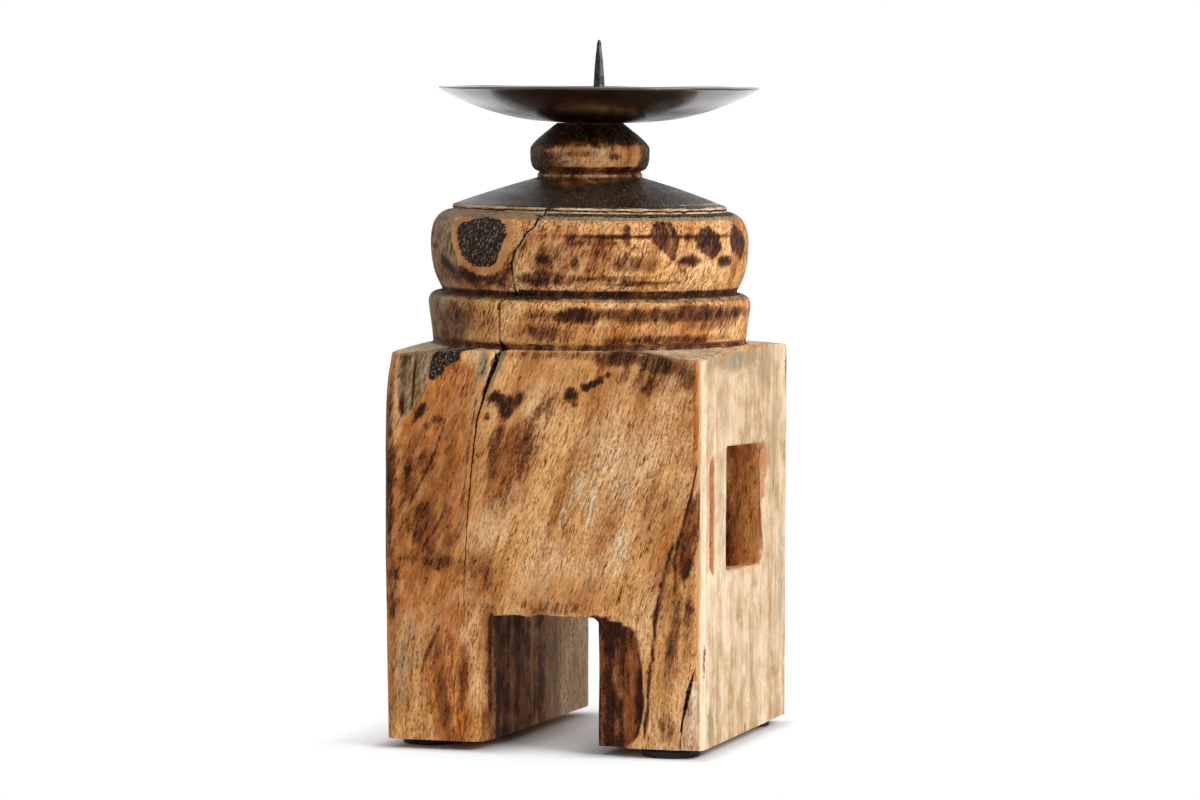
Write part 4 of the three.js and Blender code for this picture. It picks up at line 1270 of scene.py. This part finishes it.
def arithmetic(tree):
    """Four functions on the sockets of one tree, which all the materials share: a straight ramp between two
    values, a smooth step from 0, a mix of two colours, and an operation on two numbers."""

    def ramp(value, low, high, start, end, kind="LINEAR"):
        inputs = {"Value": value, "From Min": low, "From Max": high, "To Min": start, "To Max": end}
        return add(tree, "MapRange", inputs, interpolation_type=kind).outputs[0]

    def step(value, low, high, top=1.0):
        return ramp(value, low, high, 0, top, "SMOOTHSTEP")

    def mixed(share, first, second, blend="MIX"):
        inputs = {FACTOR: share, FIRST: first, SECOND: second}
        return add(tree, "Mix", inputs, data_type="RGBA", blend_type=blend).outputs[RESULT]

    def sums(first, second, operation="ADD"):
        return add(tree, "Math", {0: first, 1: second}, operation=operation).outputs[0]

    return ramp, step, mixed, sums


print("tan wood in linear light:", [round(v, 3) for v in linear("#bd8956")])

# %% [markdown]
# ### Old hardwood
#
# The timber is a dense tropical hardwood, sanded and waxed. The eye sees fine upright fibres that lean a
# little, short dark pores, broad streaks from brown to tan, and the old finishes in patches with edges
# that follow the grain. The fibres are a solid noise in the points' own places in the grain, stretched
# along the height, so they run on from face to face and show as dots on the end grain, as in real wood.


# %% The wood material
FIBRE_WIDTH, FIBRE_LENGTH = 0.7, 4.8
PORE_WIDTH, PORE_LENGTH = 0.7, 3.2
STREAK_WIDTH, STREAK_LENGTH = 7.0, 90.0
LINE_WIDTH, LINE_LENGTH = 1.5, 42.0
BLOTCH_WIDTH, BLOTCH_LENGTH = 3.5, 9.0
CLOUD_WIDTH, CLOUD_LENGTH = 20.0, 34.0
SPECK_WIDTH, SPECK_LENGTH = 0.75, 1.2
GRAIN_SWAY, GRAIN_SWAY_SIZE = 3.0, 45.0
FLAT_GRAIN, FINE_GRAIN = 2.6, 1.2
TONE_DARK, TONE_LIGHT = (0.52, 0.38, 0.26, 1), (1.38, 1.46, 1.5, 1)
PORE_TONE, NO_TONE = (0.34, 0.20, 0.12, 1), (1, 1, 1, 1)


def per_mm(width, length, flat):
    """Scale of a pattern along X, Y and Z, from its width across the grain and its length along it, in
    mm. The growth rings lie flat to the front, so a pattern is wider on the two sides by a factor."""
    return (1 / (width * MM), 1 / (width * flat * MM), 1 / (length * MM))


def wood_material():
    """Broad tones of bare wood, the layers of old finish over them, then fibres and pores through
    everything."""
    material, tree, output = new_material("old_waxed_hardwood")
    ramp, step, mixed, sums = arithmetic(tree)
    place = add(tree, "Attribute", attribute_name="grain").outputs["Vector"]
    sway = add(tree, "TexNoise", {"Vector": place, "Scale": 1 / (GRAIN_SWAY_SIZE * MM), "Detail": 1.0})
    aside = {0: sway.outputs["Color"], 1: (GRAIN_SWAY * MM, GRAIN_SWAY * MM, 0), 2: place}
    swayed = add(tree, "VectorMath", aside, operation="MULTIPLY_ADD").outputs[0]

    def pattern(width, length, detail, flat=FLAT_GRAIN):
        scaled = {0: swayed, 1: per_mm(width, length, flat)}
        scaled = add(tree, "VectorMath", scaled, operation="MULTIPLY").outputs[0]
        inputs = {"Vector": scaled, "Scale": 1.0, "Detail": detail, "Roughness": 0.6}
        return add(tree, "TexNoise", inputs).outputs["Fac"]

    def painted(finish):
        return add(tree, "Attribute", attribute_name=finish).outputs["Fac"]

    fibre = pattern(FIBRE_WIDTH, FIBRE_LENGTH, 3.0, FINE_GRAIN)
    pore = pattern(PORE_WIDTH, PORE_LENGTH, 1.5, FINE_GRAIN)
    streaks = pattern(STREAK_WIDTH, STREAK_LENGTH, 4.0)
    lines = pattern(LINE_WIDTH, LINE_LENGTH, 2.0)
    blotch = pattern(BLOTCH_WIDTH, BLOTCH_LENGTH, 3.0)
    cloud = pattern(CLOUD_WIDTH, CLOUD_LENGTH, 4.0)
    speck = pattern(SPECK_WIDTH, SPECK_LENGTH, 3.0, FINE_GRAIN)
    openness = painted("open")

    colour = mixed(step(streaks, 0.36, 0.6), linear("#b4763c"), linear("#e0a86a"))
    colour = mixed(step(cloud, 0.42, 0.66, 0.7), colour, linear("#f0c592"))

    frayed = sums(ramp(fibre, 0, 1, -0.5, 0.5), ramp(blotch, 0, 1, -0.35, 0.35))
    frayed = sums(frayed, ramp(speck, 0, 1, -0.35, 0.35))

    def coat(finish, rough):
        return sums(painted(finish), sums(frayed, rough, "MULTIPLY"))

    fine = step(fibre, 0.35, 0.65)
    pale = step(coat("pale", 1.0), 0.25, 0.75, 0.92)
    pale_grain = sums(ramp(lines, 0.3, 0.7, 0.02, 0.46), ramp(blotch, 0.3, 0.7, -0.2, 0.58))
    pale_tone = sums(ramp(streaks, 0.3, 0.7, -0.3, 0.4), pale_grain)
    # Where pale is laid full its tone is lighter still: a painted highlight on the front right edge, and
    # partly painted light on the split's sliver and the ledge's top.
    pale_tone = sums(pale_tone, ramp(painted("pale"), 0.95, 1, -0.03, 0.5))
    colour = mixed(pale, colour, mixed(pale_tone, linear("#b08f64"), linear("#f2e0c4")))
    orange = step(coat("orange", 1.3), 0.2, 0.8, 0.84)
    colour = mixed(orange, colour, mixed(fine, linear("#8c4512"), linear("#c4742f")))
    grey = step(coat("grey", 1.4), 0.25, 0.8, 0.85)
    colour = mixed(grey, colour, mixed(fine, linear("#5c4f38"), linear("#94866a")))
    stain = coat("stain", ramp(painted("stain"), 0, 0.3, 1.2, 1.9))
    colour = mixed(step(stain, 0.2, 0.52, 0.85), colour, mixed(fine, linear("#562709"), linear("#80451b")))
    colour = mixed(step(stain, 0.58, 0.92, 0.94), colour, linear("#210c04"))
    soot = step(coat("soot", 0.7), 0.35, 0.65, 0.97)
    gloss = painted("gloss")
    flecks = step(sums(speck, sums(gloss, 0.07, "MULTIPLY"), "SUBTRACT"), 0.52, 0.62)
    colour = mixed(soot, colour, mixed(flecks, linear("#0a0705"), linear("#71634e")))

    # Fibres darken towards a warm brown, as wet or dirty wood does, and pores are darker still
    tone = sums(ramp(fibre, 0, 1, -1.15, 1.15), ramp(speck, 0, 1, -1.0, 1.0))
    tone = sums(sums(tone, ramp(openness, 0, 1, 0.15, 1.25), "MULTIPLY"), 0.5)
    colour = mixed(1.0, colour, mixed(tone, TONE_DARK, TONE_LIGHT), "MULTIPLY")
    open_pores = sums(pore, ramp(openness, 0, 1, -0.22, 0.035))
    pores = sums(step(open_pores, 0.57, 0.62), step(blotch, 0.35, 0.6), "MULTIPLY")
    colour = mixed(1.0, colour, mixed(pores, NO_TONE, PORE_TONE), "MULTIPLY")

    height = sums(sums(fibre, 0.8, "MULTIPLY"), sums(pores, 0.35, "MULTIPLY"), "SUBTRACT")
    height = sums(height, sums(speck, 0.35, "MULTIPLY"))
    height = sums(height, sums(sums(sums(speck, blotch), gloss, "MULTIPLY"), 1.3, "MULTIPLY"))
    height = sums(height, ramp(openness, 0, 1, 0.2, 1), "MULTIPLY")
    bump = add(tree, "Bump", {"Height": height, "Strength": 0.8, "Distance": 0.6 * MM})
    roughness = sums(ramp(gloss, 0, 1, 0.68, 0.5), ramp(blotch, 0.3, 0.7, -0.06, 0.1))
    polish = sums(gloss, ramp(frayed, -0.35, 0.35, 0, 0.6), "MULTIPLY")
    shader = add(tree, "BsdfPrincipled", {
        "Base Color": colour, "Roughness": roughness, "Normal": bump.outputs[0], "Specular IOR Level": 0.15,
        "Coat Weight": polish, "Coat Roughness": 0.16, "Coat Normal": bump.outputs[0],
    })
    tree.links.new(shader.outputs[0], output.inputs["Surface"])
    return material


post.data.materials.append(wood_material())
print("wood nodes:", len(post.data.materials[0].node_tree.nodes))

# %% [markdown]
# ### Iron and rubber
#
# The pan is iron sheet that was oiled and burnt brown: a dark metal with an uneven gloss, so it mirrors
# the pale room only at a glancing angle. Round the middle it is almost black, has lost its oil and has its
# reflections tinted brown: char, with painted shade and a painted brown reflection near the knob. The
# spike is forged and brushed to a dark grey, with painted shade on the two facets turned from the lamp.
# The pads are matte rubber.


# %% Iron and rubber materials
DARKENED_MOST, DARKENED_OIL, PIT_SIZE, GRIT_SIZE = 0.8, 0.02, 1.2, 0.6


def iron_material(name, dark, light, patch_size, metal, gloss, rough, relief, oil):
    """A dark metal with patches between two colours, an uneven roughness, a fine relief and a film of oil.
    The attribute darkened darkens its colour and its gloss and takes the oil away: char and painted shade
    on the pan, and painted shade on the spike."""
    material, tree, output = new_material(name)
    ramp, step, mixed, sums = arithmetic(tree)
    place = add(tree, "TexCoord").outputs["Object"]
    cloudy = {"Vector": place, "Scale": 1 / (patch_size * MM), "Detail": 5.0, "Roughness": 0.65}
    pitted = {"Vector": place, "Scale": 1 / (PIT_SIZE * MM), "Detail": 3.0}
    patchy, pits = (add(tree, "TexNoise", inputs).outputs["Fac"] for inputs in (cloudy, pitted))
    darkening = add(tree, "Attribute", attribute_name="darkened").outputs["Fac"]
    colour = mixed(step(patchy, 0.35, 0.68), linear(dark), linear(light))
    colour = mixed(ramp(darkening, 0, 1, 0, DARKENED_MOST), colour, linear("#0a0402"))
    # Where darkened, the reflections are tinted brown: a painted reflection colour.
    tint = mixed(darkening, (1, 1, 1, 1), linear("#2e140a"))
    oil_left = ramp(darkening, 0, 1, oil, DARKENED_OIL * oil) if oil else 0.0
    roughness = ramp(patchy, 0.3, 0.7, gloss, rough)
    uneven_height = sums(pits, patchy)
    bump = add(tree, "Bump", {"Height": uneven_height, "Strength": 0.35, "Distance": relief * MM})
    shader = add(tree, "BsdfPrincipled", {
        "Base Color": colour, "Metallic": metal, "Roughness": roughness, "Specular Tint": tint,
        "Normal": bump.outputs[0], "Coat Weight": oil_left, "Coat Roughness": gloss,
        "Coat Normal": bump.outputs[0],
    })
    tree.links.new(shader.outputs[0], output.inputs["Surface"])
    return material


def rubber_material():
    """Matte black rubber with a fine grain."""
    material, tree, output = new_material("matte_black_rubber")
    _, _, mixed, _ = arithmetic(tree)
    place = add(tree, "TexCoord").outputs["Object"]
    grit = {"Vector": place, "Scale": 1 / (GRIT_SIZE * MM), "Detail": 2.0}
    grit = add(tree, "TexNoise", grit).outputs["Fac"]
    colour = mixed(grit, linear("#0b0b0b"), linear("#191918"))
    bump = add(tree, "Bump", {"Height": grit, "Strength": 0.3, "Distance": 0.1 * MM}).outputs[0]
    shader = add(tree, "BsdfPrincipled", {"Base Color": colour, "Roughness": 0.8, "Normal": bump})
    tree.links.new(shader.outputs[0], output.inputs["Surface"])
    return material


pan_iron = iron_material("burnt_oiled_iron", "#1c0b04", "#3c1c0b", 9, 0.35, 0.17, 0.3, 0.1, 1.0)
spike_iron = iron_material("forged_iron", "#343230", "#8a857d", 3, 0.35, 0.3, 0.5, 0.35, 0.0)
pan.data.materials.append(pan_iron)
spike.data.materials.append(spike_iron)
rubber = rubber_material()
for pad in pads:
    pad.data.materials.append(rubber)
print("materials:", sorted(m.name for m in bpy.data.materials))

# %% [markdown]
# ## Room and light
#
# A studio with a white floor and a white wall all round. A large soft lamp stands on the right, a weak
# one on the left behind. The world gives the rest, at a plain level, and is white to the camera and in
# reflections. The floor is white too: under and beside the post it is a real white surface that takes the
# shadow, and within a few centimetres of the foot it fades to plain white, as the camera and mirrors see
# it. It also has a little painted glow, in the slot's middle and round the foot, but none under the legs,
# which paints their shade darker.

# %% Floor
FLOOR_SIZE, SHADOW_REACH = 6.0, 0.03
GLOW, GLOW_REACH = 0.25, 0.008
SLOT_LIGHT, SLOT_DARK = 0.006, 0.024
FLOOR_COLOUR, WHITE = (0.86, 0.89, 0.92, 1), (1, 1, 1, 1)
floor_corners = np.array([[-1, -1, 0], [1, -1, 0], [1, 1, 0], [-1, 1, 0]]) * FLOOR_SIZE
floor_mesh = bpy.data.meshes.new("floor")
floor_mesh.from_pydata(floor_corners.tolist(), [], [[0, 1, 2, 3]])
floor = bpy.data.objects.new("floor", floor_mesh)
bpy.context.scene.collection.objects.link(floor)
floor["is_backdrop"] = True


def seen_directly(tree):
    """1 for rays from the camera, in reflections and through glass, and 0 for light that bounces."""
    _, _, _, sums = arithmetic(tree)
    path = add(tree, "LightPath").outputs
    mirrored = sums(path["Is Glossy Ray"], path["Is Transmission Ray"], "MAXIMUM")
    return sums(path["Is Camera Ray"], mirrored, "MAXIMUM")


def vector_step(tree, operation, *inputs):
    """One step of vector arithmetic."""
    return add(tree, "VectorMath", dict(enumerate(inputs)), operation=operation).outputs


floor_material, tree, output = new_material("white_studio_floor")
ramp, _, _, sums = arithmetic(tree)
floor_place = add(tree, "TexCoord").outputs["Object"]
folded = vector_step(tree, "ABSOLUTE", floor_place)[0]
beside = vector_step(tree, "SUBTRACT", folded, (HALF_X * MM, HALF_Y * MM, 0))[0]
beside = vector_step(tree, "MAXIMUM", beside, (0, 0, 0))[0]
distance = vector_step(tree, "LENGTH", beside)["Value"]
far_seen = sums(ramp(distance, 0, SHADOW_REACH, 0, 1), seen_directly(tree), "MULTIPLY")
paint = add(tree, "BsdfDiffuse", {"Color": FLOOR_COLOUR})
from_middle = add(tree, "SeparateXYZ", {0: folded}).outputs["X"]
slot_glow = ramp(from_middle, SLOT_LIGHT, SLOT_DARK, GLOW, 0)
outer_glow = ramp(distance, 0, GLOW_REACH, 0, GLOW)
glow = add(tree, "Emission", {"Color": WHITE, "Strength": sums(slot_glow, outer_glow, "MAXIMUM")})
lit = add(tree, "AddShader", {0: paint.outputs[0], 1: glow.outputs[0]})
white = add(tree, "Emission", {"Color": WHITE, "Strength": 1.0})
floor_shader = add(tree, "MixShader", {0: far_seen, 1: lit.outputs[0], 2: white.outputs[0]})
tree.links.new(floor_shader.outputs[0], output.inputs["Surface"])
floor_mesh.materials.append(floor_material)
print("floor of", 2 * FLOOR_SIZE, "m")

# %% World and lamps
AMBIENT, LAMP_AIM = 0.5, Vector((0, 0, 0.13))
world = bpy.data.worlds.new("white_studio")
bpy.context.scene.world = world
world.use_nodes = True
world.node_tree.nodes.clear()
sky_tree = world.node_tree
sky_ramp, _, _, _ = arithmetic(sky_tree)
sky_strength = sky_ramp(seen_directly(sky_tree), 0, 1, AMBIENT, 1)
sky = add(sky_tree, "Background", {"Color": WHITE, "Strength": sky_strength})
world_output = sky_tree.nodes.new("ShaderNodeOutputWorld")
sky_tree.links.new(sky.outputs[0], world_output.inputs["Surface"])


def add_lamp(name, azimuth, elevation, distance, size, watts):
    """A square soft lamp that looks at the middle of the post. Azimuth 0 is in front and 90 is on the
    right."""
    a, e = math.radians(azimuth), math.radians(elevation)
    outwards = Vector((math.sin(a) * math.cos(e), -math.cos(a) * math.cos(e), math.sin(e)))
    facing = outwards.to_track_quat("Z", "Y").to_matrix().to_4x4()
    lamp = bpy.data.objects.new(name, bpy.data.lights.new(name, "AREA"))
    lamp.data.size = size
    lamp.data.energy = watts
    lamp.matrix_world = Matrix.Translation(LAMP_AIM + outwards * distance) @ facing
    bpy.context.scene.collection.objects.link(lamp)
    return lamp


add_lamp("key_right", 74, 36, 1.5, 0.8, 16.0)
add_lamp("fill_left_rear", -140, 30, 1.8, 0.9, 3.0)
bpy.context.scene.view_settings.view_transform = "Standard"

# %% [markdown]
# ## The sizes
#
# The dressed pieces are meant to stay within the box of the imported solids, so both boxes are printed.

# %% Print the sizes
bpy.context.view_layer.update()
low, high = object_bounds()
{"cad": [list(cad_low), list(cad_high)], "visual": [list(low), list(high)]}
print("frame box", [round(v / MM, 2) for v in (*cad_low, *cad_high)])
print("dressed box", [round(v / MM, 2) for v in (*low, *high)])
